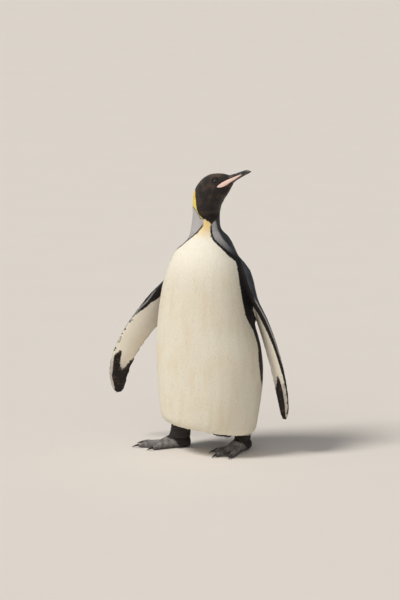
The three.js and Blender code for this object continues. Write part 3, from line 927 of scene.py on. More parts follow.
@dataclass
class Markings:
    """The bird's pattern, the same on the skin and on the feathers."""

    anatomy: Anatomy
    palette: Palette = field(default_factory=Palette)
    throat_turn: float = 40.0  # where the middle of the throat faces, in degrees to the left
    # height of the hood's edge by degrees from the throat's middle
    hood_edge: Stations = (
        (0, 0.693), (10, 0.698), (20, 0.7035), (34, 0.709), (45, 0.7146), (57, 0.7235), (70, 0.738),
        (81, 0.752), (92, 0.766), (106, 0.781), (122, 0.790), (136, 0.792), (146, 0.785), (160, 0.760),
        (180, 0.752),
    )
    # height of the lower edge of the yellow patch behind the ear and of the stripe below it
    patch_edge: Stations = (
        (30, 0.706), (41, 0.7093), (56, 0.7213), (70, 0.7305), (84, 0.736), (98, 0.740), (112, 0.743),
        (126, 0.753), (138, 0.768), (147, 0.792),
    )
    # degrees from the throat's middle at which the yellow stripe begins, on the bird's left and right
    stripe_start: tuple[float, float] = (74.0, 32.0)
    # degrees from the front to the dark line beside the breast, by height
    breast_left: Stations = (
        (0.10, 118), (0.16, 110), (0.198, 99), (0.229, 89), (0.260, 86), (0.288, 85.2), (0.311, 86),
        (0.334, 88), (0.357, 88), (0.379, 86.5), (0.401, 81.4), (0.424, 77), (0.448, 76), (0.501, 74.3),
        (0.530, 75.2), (0.559, 77), (0.582, 78.5), (0.604, 65), (0.619, 56.5), (0.638, 44),
        (0.653, 35.3), (0.665, 33.3), (0.679, 33.6), (0.696, 36.5),
    )
    breast_right: Stations = (
        (0.10, -108), (0.18, -98), (0.26, -90), (0.314, -87), (0.383, -80), (0.45, -75), (0.52, -78),
        (0.58, -80), (0.609, -75.5), (0.616, -71), (0.628, -64), (0.641, -50.7), (0.655, -28.5),
        (0.669, -10.3), (0.690, 7.3), (0.700, 9.0),
    )
    line_width: Stations = (
        (0.10, 0.001), (0.18, 0.005), (0.20, 0.013), (0.23, 0.030), (0.28, 0.038), (0.36, 0.044),
        (0.45, 0.046), (0.53, 0.044), (0.58, 0.030), (0.60, 0.017), (0.62, 0.010), (0.64, 0.0066),
        (0.66, 0.0048), (0.70, 0.0034),
    )
    # how far the silver strip beside that line reaches on the bird's left, and its reach on the right
    silver_left: Stations = ((0.62, 0.034), (0.65, 0.034), (0.665, 0.030), (0.68, 0.024), (0.70, 0.016))
    silver_right: float = 0.055
    shoulder_shade: tuple[float, float] = (135.0, 112.0)  # degrees over which the painted shade on the bird's left side fades in
    heel_edge: float = -0.008  # ahead of the ankle, at the sole
    heel_slope: float = 1.1

    def colour(self, points: np.ndarray, tracts: np.ndarray) -> np.ndarray:
        """Paints points on the bird.

        Args:
            points: Points on or just above the skin.
            tracts: Their tract numbers.

        Returns:
            Red, green and blue for each point.
        """
        shown = self._body(points)
        for tract in self.anatomy.flippers:
            on = tract_mask(tracts, tract)
            shown[on] = self._flipper(points[on], tract)
        legs = tract_mask(tracts, *LEGS)
        shown[legs] = self._blend(
            filled(self.palette.leg, legs.sum()),
            self.palette.foot,
            0.35 * ramp(speckle(points[legs], 0.006), 0.2, 1.0),
        )
        feet = tract_mask(tracts, *FEET)
        # dust in patches, with painted light: the feet are paler on top and darker towards the soles
        dust = speckle(points[feet], 0.011) + 0.4 * speckle(points[feet], 0.004)
        dust_and_top_light = 0.25 + 0.55 * ramp(dust, -1.0, 1.0)
        dust_and_top_light *= 0.3 + 0.7 * ramp(points[feet, 2], 0.004, 0.014)
        shown[feet] = self._blend(filled(self.palette.foot, feet.sum()), self.palette.foot_dust, dust_and_top_light)
        # the heel is as dark as the leg, up to a slanting edge from the instep down to the sole
        for foot in FEET:
            on = tract_mask(tracts, foot)
            ahead = self.anatomy.ahead_of_ankle(points[on], foot) - self.heel_slope * points[on, 2]
            ahead += 0.003 * speckle(points[on], 0.007)
            heel = ramp(ahead, self.heel_edge + 0.006, self.heel_edge - 0.005)
            shown[on] = self._blend(shown[on], self.palette.leg, heel)
        tail = tract_mask(tracts, Tract.TAIL)
        shown[tail] = self._blend(shown[tail], self.palette.tail, ramp(points[tail, 2], 0.19, 0.13))
        return shown

    @staticmethod
    def _blend(under: np.ndarray, over: Colour | np.ndarray, weight: np.ndarray) -> np.ndarray:
        """Returns the colours with another laid over them by weight."""
        return under + (np.asarray(over) - under) * weight[:, None]

    def _body(self, points: np.ndarray) -> np.ndarray:
        """Returns the colours of the head, neck and trunk."""
        look = self.palette
        angle, radius = self.anatomy.round_body(points)
        height = points[:, 2]
        ragged = 0.0010 * speckle(points, 0.004)
        turned = (angle - self.throat_turn + 180) % 360 - 180
        left = (curve(height, self.breast_left) - angle) * np.pi / 180 * radius
        right = (angle - curve(height, self.breast_right)) * np.pi / 180 * radius
        # slate back and hind neck, with a silver strip beside each of the two dark lines
        shown = filled(look.slate, len(points))
        shown = self._blend(shown, look.slate_dark, ramp(height, 0.42, 0.16) * 0.8)
        shown = self._blend(shown, look.neck, ramp(height, 0.57, 0.64) * ramp(np.abs(angle), 165, 125))
        reach = np.where(left < right, curve(height, self.silver_left), self.silver_right)
        strip = ramp(-np.minimum(left, right), reach + 0.005, reach - 0.005)
        shown = self._blend(shown, look.nape, 0.95 * strip * ramp(height, 0.595, 0.675))
        # painted shade on the bird's left side only, between heights 0.30 and 0.63, outside the dark line
        black = ramp(height, 0.628, 0.595) * ramp(height, 0.30, 0.40)
        black = black * ramp(angle, *self.shoulder_shade) * (angle > 0)
        shown = self._blend(shown, look.shoulder_shade, black)
        # white front inside the lines
        inside = np.minimum(left, right) + ragged
        front = self._blend(shown, self._breast(points), ramp(inside, -0.0008, 0.0012))
        width = curve(height, self.line_width)
        fade = 0.0015 + 0.5 * width
        band = ramp(inside, 0.0010, -0.0006) * ramp(inside, -width - fade, -width + 0.0005)
        shown = self._blend(front, look.line, band * ramp(height, 0.70, 0.68))
        return self._hood(shown, points, np.abs(turned), turned > 0, ragged)

    def _breast(self, points: np.ndarray) -> np.ndarray:
        """Returns the colours of the white front, yellow under the throat and faintly stained below."""
        look = self.palette
        height = points[:, 2]
        shown = filled(look.belly, len(points))
        streaks = speckle(points * (1.0, 1.0, 0.22), 0.016)
        shown = self._blend(shown, look.stain, 0.30 * ramp(streaks, -0.2, 1.1) * ramp(height, 0.62, 0.50))
        shown = self._blend(shown, look.stain, 0.16 * ramp(speckle(points, 0.075), 0.0, 1.0))
        shown = self._blend(shown, look.cream, ramp(height, 0.50, 0.64))
        return self._blend(shown, look.throat, ramp(height, 0.640, 0.694))

    def _hood(
        self,
        shown: np.ndarray,
        points: np.ndarray,
        turned: np.ndarray,
        leftwards: np.ndarray,
        ragged: np.ndarray,
    ) -> np.ndarray:
        """Lays the hood over the colours, with the yellow patch below and behind it.

        Args:
            shown: The colours so far.
            points: The painted points.
            turned: Their degrees from the throat's middle.
            leftwards: Where that is to the bird's left.
            ragged: How far each point is shifted, so that edges are uneven.

        Returns:
            The new colours.
        """
        look = self.palette
        height = points[:, 2]
        hood_low = curve(turned, self.hood_edge)
        patch_low = curve(turned, self.patch_edge)
        start = np.where(leftwards, *self.stripe_start)
        begun = ramp(turned, start, start + 9)
        patch = ramp(height + ragged, patch_low - 0.0008, patch_low + 0.0008) * ramp(turned, 147, 143)
        outline = ramp(height + ragged, patch_low - 0.0042, patch_low - 0.0025) * ramp(turned, 152, 148)
        shown = self._blend(shown, look.line, outline * begun * (1 - patch) * 0.75)
        gold = self._blend(filled(look.ear, len(points)), look.ear_deep, ramp(height, 0.750, 0.782))
        shown = self._blend(shown, gold, patch * begun)
        # brown mottle over the hood, strengthened towards the crown as a painted highlight
        hood = self._blend(
            filled(look.hood, len(points)),
            look.hood_light,
            ramp(speckle(points, 0.014), -0.3, 1.0) * (0.18 + 0.36 * ramp(height, 0.775, 0.815)),
        )
        soft = 0.0008 + 0.014 * ramp(turned, 145, 165)
        return self._blend(shown, hood, ramp(height + ragged - hood_low, -soft, soft))

    def _flipper(self, points: np.ndarray, tract: Tract) -> np.ndarray:
        """Returns the colours of a flipper."""
        look = self.palette
        marks = MARKS[tract]
        along, across, under = self.anatomy.flippers[tract].measure(points)
        fine = speckle(points, 0.0045)
        rough = 0.014 * fine
        upper = filled(look.flipper, len(points))
        upper = self._blend(upper, look.slate, 0.12 * ramp(speckle(points, 0.02), -0.5, 1.0))
        trail = ramp(across + rough * 0.5, 0.962, 0.978) * ramp(along, 0.97, 0.9)
        upper = self._blend(upper, look.under, trail * ramp(along, *marks.trail))
        below = filled(look.under, len(points))
        tanned = marks.tan * ramp(across + 0.08 * speckle(points, 0.03), 0.3, 1.0)
        below = self._blend(below, look.under_tan, tanned)
        # painted shadow along the trailing edge, on the left flipper near its root
        shaded = curve(along, marks.shade) * ramp(across + rough, 0.74, 0.92)
        below = self._blend(below, look.under_shade, shaded)
        below = self._blend(below, look.edge_tip, ramp(along, 0.72, 0.84))
        # flecks near the leading edge, the leading band and the thin pale line along it
        first, last = marks.fleck_zone
        zone = ramp(along, first, first + 0.04)
        zone *= ramp(along, last + 0.04, last) * ramp(across, marks.fleck_width, 0.03)
        flecks = 0.7 * fine + 0.7 * speckle(points, 0.011)
        below = self._blend(below, look.band, ramp(flecks + 0.9 * zone, 0.90, 1.10) * zone**0.5)
        reach = curve(along, marks.band)
        below = self._blend(below, look.band, ramp(across + rough, reach + 0.014, reach - 0.014))
        line = curve(along, marks.edge_line)
        pale_line = ramp(across, line + 0.012, line) * ramp(across, line - 0.055, line - 0.045)
        pale_line *= ramp(line, 0.005, 0.04)
        below = self._blend(below, look.edge, 0.8 * pale_line)
        # the dark tip, in from the pale leading edge
        start = curve(across, marks.tip_start)
        edge = curve(along, marks.pale_edge)
        tip = ramp(along + 0.7 * rough, start - 0.012, start + 0.016)
        tip *= ramp(across + rough, edge - 0.015, edge + 0.015)
        below = self._blend(below, look.band, tip)
        mottle = ramp(fine + speckle(points, 0.013), 0.1, 1.3)
        below = self._blend(below, look.hood_light, 0.42 * tip * mottle)
        return self._blend(upper, below, ramp(under, -0.03, 0.03))


# ---- Skin ----------------------------------------------------------------------------------------


@dataclass
class Skin:
    """The one skin that stands for every solid of flesh, with what the coat needs to know about it."""

    anatomy: Anatomy
    markings: Markings
    pitch: float = 0.0023
    faces: int = 185000  # after the plain parts are thinned out
    groove: float = 0.0010  # how far a groove of the feet lies below what is round it
    swell: float = 0.0003
    flipper_swell: float = 0.0012
    plain_thinning: float = 6.0  # how strongly the trunk and the neck are thinned first
    thin_share: float = 0.3  # of a thin part's thickness, the most that the skin sinks
    thin_reach: float = 0.02
    floor: float = 0.0004
    lie_passes: int = 30
    # passes of smoothing, and the coat's depth, by the kind of tract
    smoothing: dict[str, int] = field(
        default_factory=lambda: {
            "trunk": 66, "neck": 30, "head": 10, "tail": 12, "flipper": 9, "leg": 15, "foot": 4
        }
    )
    depth: dict[str, float] = field(
        default_factory=lambda: {
            "trunk": 0.0019, "neck": 0.0017, "head": 0.0011, "tail": 0.0022,
            "flipper": 0.0011, "leg": 0.0016, "foot": 0.0003,
        }
    )

    def build(self) -> bpy.types.Object:
        """Returns the finished skin."""
        nodes = [self.anatomy.nodes[tract.value] for tract in TRACTS]
        swell = {tract.value: self.flipper_swell if tract in FLIPPERS else self.swell for tract in TRACTS}
        mesh = remeshed(welded(nodes, swell), self.pitch)
        self.net = Net(mesh)
        self.tracts = self._tracts(nodes)
        passes = self.net.spread(np.array([float(self.smoothing[TRACTS[i].kind]) for i in self.tracts]), 6)
        self.net.smooth(passes)
        self._sink(swell)
        mesh = self._thinned(mesh)
        self.net = Net(mesh)
        self.tracts = self._tracts(nodes)
        self.normals = self.net.normals()
        self.lie = self._lie()
        self.tree = surface_tree(mesh, self.net.at)
        paint(mesh, "plumage", self.markings.colour(self.net.at, self.tracts))
        bare = tract_mask(self.tracts, *FEET).astype(float)
        # painted shadow: how deep each bare vertex of the feet lies in a groove
        inward = ((self.net.spread(self.net.at, 8) - self.net.at) * self.normals).sum(1)
        self.hollow = bare * ramp(inward, self.groove / 5, self.groove)
        paint(mesh, "bare", self.net.spread(bare, 2))
        paint(mesh, "hollow", self.hollow)
        piece = add_piece("skin", mesh, SkinFinish("skin_under_plumage").material())
        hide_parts(*(tract.value for tract in TRACTS))
        return piece

    def _tracts(self, nodes: Sequence[bpy.types.Object]) -> np.ndarray:
        """Returns the number of the tract that each vertex lies on."""
        points: list[Vector] = []
        faces: list[tuple[int, ...]] = []
        owner: list[int] = []
        for number, node in enumerate(nodes):
            first = len(points)
            points += [vertex.co for vertex in node.data.vertices]
            faces += [tuple(first + i for i in face.vertices) for face in node.data.polygons]
            owner += [number] * len(node.data.polygons)
        solids = BVHTree.FromPolygons(points, faces)
        return np.array([owner[solids.find_nearest(Vector(at))[2]] for at in self.net.at])

    def _sink(self, swell: dict[str, float]) -> None:
        """Moves the skin in by the coat's depth, and by less where a flipper is thin."""
        wanted = np.array([self.depth[TRACTS[i].kind] + swell[TRACTS[i].value] for i in self.tracts])
        wanted = self.net.spread(wanted, 5)
        normals = self.net.normals()
        tree = surface_tree(self.net.mesh, self.net.at)
        thin = np.flatnonzero(tract_mask(self.tracts, *FLIPPERS, Tract.TAIL))
        for i in thin:
            inward = Vector(-normals[i])
            hit = tree.ray_cast(Vector(self.net.at[i]) + inward * 1e-4, inward, self.thin_reach)
            if hit[0] is not None:
                wanted[i] = min(wanted[i], self.thin_share * hit[3])
        self.net.at -= normals * self.net.spread(wanted, 2)[:, None]
        self.net.at[:, 2] = np.maximum(self.net.at[:, 2], self.floor)
        self.net.write()

    def _thinned(self, mesh: bpy.types.Mesh) -> bpy.types.Mesh:
        """Returns the net with fewer faces, most of them taken from the trunk and the neck."""
        plain = np.flatnonzero(tract_mask(self.tracts, Tract.TRUNK, Tract.NECK))
        ratio = self.faces / (2 * len(mesh.polygons))
        settings = {"vertex_group_factor": self.plain_thinning, "ratio": ratio}
        return modified(mesh, "DECIMATE", settings, plain)

    def _lie(self) -> np.ndarray:
        """Returns the way that feathers point at each vertex, evened out over the surface."""
        way = along_surface(self.anatomy.flow(self.net.at, self.tracts), self.normals)
        for _ in range(self.lie_passes):
            way = along_surface(self.net.spread(way, 1), self.normals)
        return way


# ---- Feathers ------------------------------------------------------------------------------------


class Vane:
    """The shape that every feather of a tract repeats: a thin closed blade, one wide and one long."""

    def __init__(self, rows: int, pointed: float = 1.2, blunt: float = 0.6) -> None:
        """Makes the blade.

        Args:
            rows: How many rows of faces it has from root to tip.
            pointed: Over 1, the blade is widest nearer its tip.
            blunt: Under 1, its ends are rounder.
        """
        blade = bmesh.new()
        bmesh.ops.create_grid(blade, x_segments=2, y_segments=rows, size=0.5)
        for vertex in blade.verts:
            along = vertex.co.y + 0.5
            width = max(math.sin(math.pi * along**pointed), 0.0) ** blunt
            crown = (1 - 2 * abs(vertex.co.x)) * math.sin(math.pi * min(max(along, 0.0), 1.0)) ** 0.5
            vertex.co = (vertex.co.x * width, along, crown)
        for end in (0.0, 1.0):
            row = [vertex for vertex in blade.verts if abs(vertex.co.y - end) < 1e-4]
            bmesh.ops.pointmerge(blade, verts=row, merge_co=(0.0, end, 0.0))
        bmesh.ops.holes_fill(blade, edges=[edge for edge in blade.edges if edge.is_boundary])
        bmesh.ops.triangulate(blade, faces=blade.faces)
        bmesh.ops.recalc_face_normals(blade, faces=blade.faces)
        blade.verts.index_update()
        self.points = np.array([tuple(vertex.co) for vertex in blade.verts])
        self.faces = np.array([[vertex.index for vertex in face.verts] for face in blade.faces])
        self.rows = np.unique(np.round(self.points[:, 1], 5))
        self.row_of = np.searchsorted(self.rows, np.round(self.points[:, 1], 5))
        blade.free()


@dataclass(frozen=True)
class Cut:
    """How the feathers of one tract are cut and laid."""

    length: float
    width: float
    spacing: float
    rise: float
    thickness: float
    rows: int = 4
    tousle: float = 0.09
    lift: float = 0.0  # how far the tips stand out beyond the rise, at most


@dataclass
class Feathers:
    """The roots of many feathers: where they are, which way they point and how large each is."""

    root: np.ndarray
    normal: np.ndarray
    lie: np.ndarray
    tract: np.ndarray
    scale: np.ndarray
    hollow: np.ndarray
    # painted shadow taken from the skin under each root
    lift: np.ndarray

    def chosen(self, mask: np.ndarray) -> Feathers:
        """Returns the feathers that the mask keeps."""
        return Feathers(*(getattr(self, name)[mask] for name in self.__dataclass_fields__))


@dataclass
class Plumage:
    """Lays feathers over the skin."""

    skin: Skin
    anatomy: Anatomy
    markings: Markings
    patch: float = 0.003  # the size of each feather on the bake's map
    crisp: float = 0.55  # how far a marking's edge cuts through a feather: 0 colours each feather whole
    heart: float = 0.6  # how far along a feather lies the place that colours it whole
    hollow_shade: float = 0.75  # how much of its colour a feather or scale loses to painted shadow in a groove
    closest: float = 0.8  # the spacing that tries are counted for, as a share of the cut's own
    tries: float = 3.2  # places tried for each feather of that spacing
    most_bend: float = 0.35  # how far a feather bends to the skin, as a share of its length
    root_rise: float = 0.12  # how high its root stands, as a share of its tip's height

    def sow(
        self,
        cut: Cut,
        tracts: Sequence[Tract],
        size: Callable[[np.ndarray], np.ndarray],
        keep: Callable[[np.ndarray], np.ndarray] | None = None,
    ) -> Feathers:
        """Sows the roots of one tract's feathers, none closer than its spacing.

        Args:
            cut: The feathers' cut.
            tracts: The tracts to cover.
            size: Gives the feathers' size at each point, as a factor.
            keep: Says at which points a feather may stand.

        Returns:
            The roots.
        """
        rng = np.random.default_rng(SEED)
        mesh = self.skin.net.mesh
        mesh.calc_loop_triangles()
        corners = numbers(mesh.loop_triangles, "vertices", 3)
        corners = corners[tract_mask(self.skin.tracts, *tracts)[corners].sum(1) >= 2]
        a, b, c = (self.skin.net.at[corners[:, i]] for i in range(3))
        area = np.linalg.norm(np.cross(b - a, c - a), axis=1) / 2
        least = cut.spacing * self.closest
        tries = int(area.sum() / least**2 * self.tries)
        face = rng.choice(len(corners), tries, p=area / area.sum())
        u, v = rng.random((2, tries))
        u, v = np.where(u + v > 1, (1 - u, 1 - v), (u, v))
        share = np.stack([1 - u - v, u, v], 1)[:, :, None]
        at = corners[face]
        point = (self.skin.net.at[at] * share).sum(1)
        scale = size(point)
        allowed = np.ones(tries, bool) if keep is None else keep(point)
        picked = np.flatnonzero(allowed)[self._apart(point[allowed], cut.spacing * scale[allowed])]
        normal = unit((self.skin.normals[at] * share).sum(1)[picked])
        lie = along_surface((self.skin.lie[at] * share).sum(1)[picked], normal)
        owner = self.skin.tracts[at[picked, share[picked, :, 0].argmax(1)]]
        hollow = (self.skin.hollow[at] * share[:, :, 0]).sum(1)[picked]
        return Feathers(point[picked], normal, lie, owner, scale[picked], hollow, np.zeros(len(picked)))

    @staticmethod
    def _apart(points: np.ndarray, spacing: np.ndarray) -> list[int]:
        """Returns the points, taken in order, that have no taken one within their spacing."""
        cell = float(spacing.max())
        keys = np.floor(points / cell).astype(int).tolist()
        near = [(x, y, z) for x in (-1, 0, 1) for y in (-1, 0, 1) for z in (-1, 0, 1)]
        taken: dict[tuple[int, int, int], list[tuple[float, float, float]]] = {}
        kept: list[int] = []
        limits = (spacing**2).tolist()
        for i, ((x, y, z), (px, py, pz)) in enumerate(zip(keys, points.tolist(), strict=True)):
            limit = limits[i]
            clear = True
            for dx, dy, dz in near:
                for qx, qy, qz in taken.get((x + dx, y + dy, z + dz), ()):
                    if (px - qx) ** 2 + (py - qy) ** 2 + (pz - qz) ** 2 < limit:
                        clear = False
                        break
                if not clear:
                    break
            if clear:
                taken.setdefault((x, y, z), []).append((px, py, pz))
                kept.append(i)
        return kept

    def lay(
        self,
        name: str,
        slot: str,
        feathers: Feathers,
        cut: Cut,
        finish: bpy.types.Material,
        unwrap: Callable[[np.ndarray], np.ndarray],
    ) -> bpy.types.Object:
        """Makes one piece of the coat.

        Args:
            name: The piece's name.
            slot: Not used.
            feathers: The roots.
            cut: The feathers' cut.
            finish: Their material.
            unwrap: Gives each root's place on the bake's map.

        Returns:
            The piece.
        """
        rng = np.random.default_rng(SEED)
        vane = Vane(cut.rows)
        count = len(feathers.root)
        turn = rng.normal(0, cut.tousle, count)[:, None]
        side = np.cross(feathers.normal, feathers.lie)
        way = feathers.lie * np.cos(turn) + side * np.sin(turn)
        length = cut.length * feathers.scale * rng.uniform(0.88, 1.12, count)
        width = cut.width * feathers.scale * rng.uniform(0.92, 1.08, count)
        rise = cut.rise * feathers.scale * rng.uniform(0.75, 1.0, count) + feathers.lift
        middle, normals = self._rows(feathers, way, length, rise, vane.rows)
        across = unit(np.cross(np.repeat(way[:, None], len(vane.rows), 1), normals))
        row = vane.row_of
        at = (
            middle[:, row]
            + across[:, row] * (vane.points[:, 0] * width[:, None])[:, :, None]
            + normals[:, row] * (vane.points[:, 2] * cut.thickness * feathers.scale[:, None])[:, :, None]
        )
        mesh = self._joined(at, vane)
        each = len(vane.points)
        centre = feathers.root + way * (length * self.heart)[:, None]
        shown = ((1 - self.crisp) * centre[:, None] + self.crisp * at).reshape(-1, 3)
        colour = self.markings.colour(shown, np.repeat(feathers.tract, each))
        # feathers and scales in the feet's grooves carry painted shadow
        paint(mesh, "plumage", colour * np.repeat(1 - self.hollow_shade * feathers.hollow, each)[:, None])
        paint(mesh, "along", np.tile(vane.points[:, 1], count))
        paint(mesh, "tone", np.repeat(rng.normal(0, 1, count), each))
        centre = unwrap(feathers.root)[:, None]
        local = (vane.points[:, :2] - (0.0, 0.5)) * self.patch
        corner = numbers(mesh.loops, "vertex_index", 1)
        layer = mesh.uv_layers.new(name="OFBake")
        layer.uv.foreach_set("vector", (centre + local).reshape(-1, 2)[corner].astype(np.float32).ravel())
        return add_piece(name, mesh, finish)

    def _rows(
        self, feathers: Feathers, way: np.ndarray, length: np.ndarray, rise: np.ndarray, rows: np.ndarray
    ) -> tuple[np.ndarray, np.ndarray]:
        """Returns the middle and the normal of each row of each feather, bent to follow the skin."""
        middles = []
        normals = []
        for share in rows:
            straight = feathers.root + way * (length * share)[:, None]
            onto = straight.copy()
            facing = feathers.normal.copy()
            if share > 0:
                for i, point in enumerate(straight.tolist()):
                    found, normal, _, _ = self.skin.tree.find_nearest(point)
                    onto[i] = found
                    facing[i] = normal
            bend = onto - straight
            most = self.most_bend * length * share
            far = np.linalg.norm(bend, axis=1)
            held = np.minimum(1, most / np.maximum(far, 1e-9))[:, None]
            facing = unit(feathers.normal * (1.0 - 0.8 * held * share) + facing * held * share)
            height = rise * (self.root_rise + (1 - self.root_rise) * share)
            middles.append(straight + bend * held + facing * height[:, None])
            normals.append(facing)
        return np.stack(middles, 1), np.stack(normals, 1)

    @staticmethod
    def _joined(at: np.ndarray, vane: Vane) -> bpy.types.Mesh:
        """Returns one mesh of all feathers, flat shaded."""
        count, each = at.shape[:2]
        faces = (vane.faces[None] + (np.arange(count) * each)[:, None, None]).reshape(-1)
        mesh = bpy.data.meshes.new("feathers")
        mesh.vertices.add(count * each)
        mesh.vertices.foreach_set("co", at.astype(np.float32).ravel())
        mesh.loops.add(len(faces))
        mesh.loops.foreach_set("vertex_index", faces.astype(np.int32))
        mesh.polygons.add(len(faces) // 3)
        mesh.polygons.foreach_set("loop_start", np.arange(0, len(faces), 3, dtype=np.int32))
        mesh.polygons.foreach_set("use_smooth", np.zeros(len(faces) // 3, bool))
        mesh.update(calc_edges=True)
        return mesh


@dataclass
class Coat:
    """Every feather on the bird, in pieces that meet under each other's tips."""

    plumage: Plumage
    head_cut: Cut = Cut(length=0.0044, width=0.0019, spacing=0.0015, rise=0.0008, thickness=0.00018, rows=3)
    neck_cut: Cut = Cut(length=0.0090, width=0.0034, spacing=0.0023, rise=0.0013, thickness=0.0002)
    front_cut: Cut = Cut(
        length=0.0125, width=0.0046, spacing=0.0030, rise=0.0013, thickness=0.0002, tousle=0.07
    )
    back_cut: Cut = Cut(length=0.0125, width=0.0050, spacing=0.0030, rise=0.0019, thickness=0.0003)
    flipper_cut: Cut = Cut(
        length=0.0054, width=0.0026, spacing=0.0018, rise=0.0007, thickness=0.0002, rows=3
    )
    leg_cut: Cut = Cut(length=0.0070, width=0.0026, spacing=0.0020, rise=0.0013, thickness=0.00025, rows=3)
    tail_cut: Cut = Cut(
        length=0.052, width=0.0060, spacing=0.0060, rise=0.0020, thickness=0.0006, rows=8, tousle=0.04
    )
    eye_bare: float = 0.0098  # no feather stands nearer to an eye's middle
    plate_bare: float = 0.0012  # nor nearer to a plate
    belly_top: float = 0.33  # where the breast's piece and the back's begin
    hem_height: float = 0.120  # below this height the trunk's feathers begin to stand out
    hem_low: float = 0.075  # and here they do so fully
    hem_lift: float = 0.0035
    hem_growth: float = 0.5
    tail_clear: float = 0.004  # how far above the floor the tail's feathers end
    tail_slack: float = 1.12  # the length counted for each, as a share of the cut's own
    tail_least: float = 0.12

    def build(self) -> None:
        """Lays every piece of the coat."""
        soft = PlumageFinish("feathers_body").material()
        slate = PlumageFinish("feathers_slate", root_shade=0.7, tip_shade=1.15, mottle=0.2).material()
        hood = PlumageFinish("feathers_hood", root_shade=0.8, tip_shade=1.1, uneven=0.12, sheen=0.4)
        velvet = hood.material()
        self._trunk(soft)
        self._neck(soft)
        self._head(velvet)
        self._flippers(slate)
        self._legs_and_tail(slate)

    def _round(self, low: float, high: float) -> Callable[[np.ndarray], np.ndarray]:
        """Returns the unwrap of the body between two heights, round its middle."""

        def unwrap(points: np.ndarray) -> np.ndarray:
            """Returns the places on the map."""
            angle, _ = self.plumage.anatomy.round_body(points)
            return on_map(angle / 360 + 0.5, (points[:, 2] - low) / (high - low))

        return unwrap

    def _trunk(self, finish: bpy.types.Material) -> None:
        """Lays the feathers of the trunk in four pieces."""

        def size(points: np.ndarray) -> np.ndarray:
            """Feathers shrink a little towards the neck."""
            return 1.0 - 0.22 * ramp(points[:, 2], 0.50, 0.63)

        sown = self.plumage.sow(self.back_cut, [Tract.TRUNK], size)
        loose = np.random.default_rng(SEED).random(len(sown.root))
        hem = ramp(sown.root[:, 2], self.hem_height, self.hem_low)
        sown.lift = self.hem_lift * hem * loose**2
        sown.scale = sown.scale * (1 + self.hem_growth * hem * loose)
        angle, _ = self.plumage.anatomy.round_body(sown.root)
        marks = self.plumage.markings
        height = sown.root[:, 2]
        front = (angle < curve(height, marks.breast_left)) & (angle > curve(height, marks.breast_right))
        low = height < self.belly_top
        for name, mask, cut in (
            ("coat_breast", front & ~low, self.front_cut),
            ("coat_belly", front & low, self.front_cut),
            ("coat_back", ~front & ~low, self.back_cut),
            ("coat_rump", ~front & low, self.back_cut),
        ):
            self.plumage.lay(name, "plumage_body", sown.chosen(mask), cut, finish, self._round(0.06, 0.64))

    def _neck(self, finish: bpy.types.Material) -> None:
        """Lays the feathers of the neck."""

        def size(points: np.ndarray) -> np.ndarray:
            """Feathers shrink from the shoulders to the hood."""
            return 1.1 - 0.5 * ramp(points[:, 2], 0.63, 0.73)

        sown = self.plumage.sow(self.neck_cut, [Tract.NECK], size)
        self.plumage.lay("coat_neck", "plumage_neck", sown, self.neck_cut, finish, self._round(0.62, 0.74))

    def _head(self, finish: bpy.types.Material) -> None:
        """Lays the feathers of the head, which leave the eyes, the bill and its plates bare."""
        anatomy = self.plumage.anatomy
        eyes = [np.array(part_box(name)).mean(0) for name in ("eye_left", "eye_right")]
        graph = bpy.context.evaluated_depsgraph_get()
        names = ("bill_plate_left", "bill_plate_right")
        plates = [BVHTree.FromObject(anatomy.nodes[name], graph) for name in names]

        def size(points: np.ndarray) -> np.ndarray:
            """Feathers grow from the bill to the nape."""
            away = np.linalg.norm(points - anatomy.bill_root, axis=1)
            return 0.62 + 0.75 * ramp(away, 0.01, 0.12)

        def keep(points: np.ndarray) -> np.ndarray:
            """No feather stands on an eye or a plate."""
            clear = np.ones(len(points), bool)
            for centre in eyes:
                clear &= np.linalg.norm(points - centre, axis=1) > self.eye_bare
            for i in np.flatnonzero(clear):
                near = min(plate.find_nearest(points[i])[3] for plate in plates)
                clear[i] = near > self.plate_bare
            return clear

        def unwrap(points: np.ndarray) -> np.ndarray:
            """Returns the places on a map that opens out from the bill."""
            off = points - anatomy.bill_root
            side = unit(np.cross(anatomy.bill_way, (0, 0, 1)))
            up = np.cross(side, anatomy.bill_way)
            turn = np.arctan2(off @ side, off @ up)
            away = np.linalg.norm(off, axis=1)
            return on_map(turn / (2 * np.pi) + 0.5, away / away.max())

        sown = self.plumage.sow(self.head_cut, [Tract.HEAD], size, keep)
        self.plumage.lay("coat_head", "plumage_hood", sown, self.head_cut, finish, unwrap)

    def _flippers(self, finish: bpy.types.Material) -> None:
        """Lays the scale-like feathers of the flippers."""
        for tract, line in self.plumage.anatomy.flippers.items():

            def size(points: np.ndarray, line: FlipperLine = line) -> np.ndarray:
                """Feathers shrink towards the tip."""
                return 1.25 - 0.35 * ramp(line.measure(points)[0], 0.0, 0.5)

            def unwrap(points: np.ndarray, line: FlipperLine = line) -> np.ndarray:
                """Returns the places on a map with the underside beside the upper side."""
                along, across, under = line.measure(points)
                sheet = np.where(under > 0, across, 2.0 - across) / 2
                return on_map(np.clip(sheet, 0, 1), np.clip(along, 0, 1))

            sown = self.plumage.sow(self.flipper_cut, [tract], size)
            name = tract.value.replace("flipper", "coat_flipper")
            self.plumage.lay(name, "plumage_slate", sown, self.flipper_cut, finish, unwrap)

    def _legs_and_tail(self, finish: bpy.types.Material) -> None:
        """Lays the feathers of the legs and the long stiff ones of the tail."""

        def even(points: np.ndarray) -> np.ndarray:
            """All are of one size."""
            return np.ones(len(points))

        legs = self.plumage.sow(self.leg_cut, LEGS, even)
        self.plumage.lay("coat_legs", "plumage_leg", legs, self.leg_cut, finish, self._flat)
        tail = self.plumage.sow(self.tail_cut, [Tract.TAIL], even)
        room = (tail.root[:, 2] - self.tail_clear) / (self.tail_cut.length * self.tail_slack)
        tail.scale = np.clip(room, self.tail_least, 1.0)
        self.plumage.lay("coat_tail", "plumage_slate", tail, self.tail_cut, finish, self._round(0.0, 0.2))

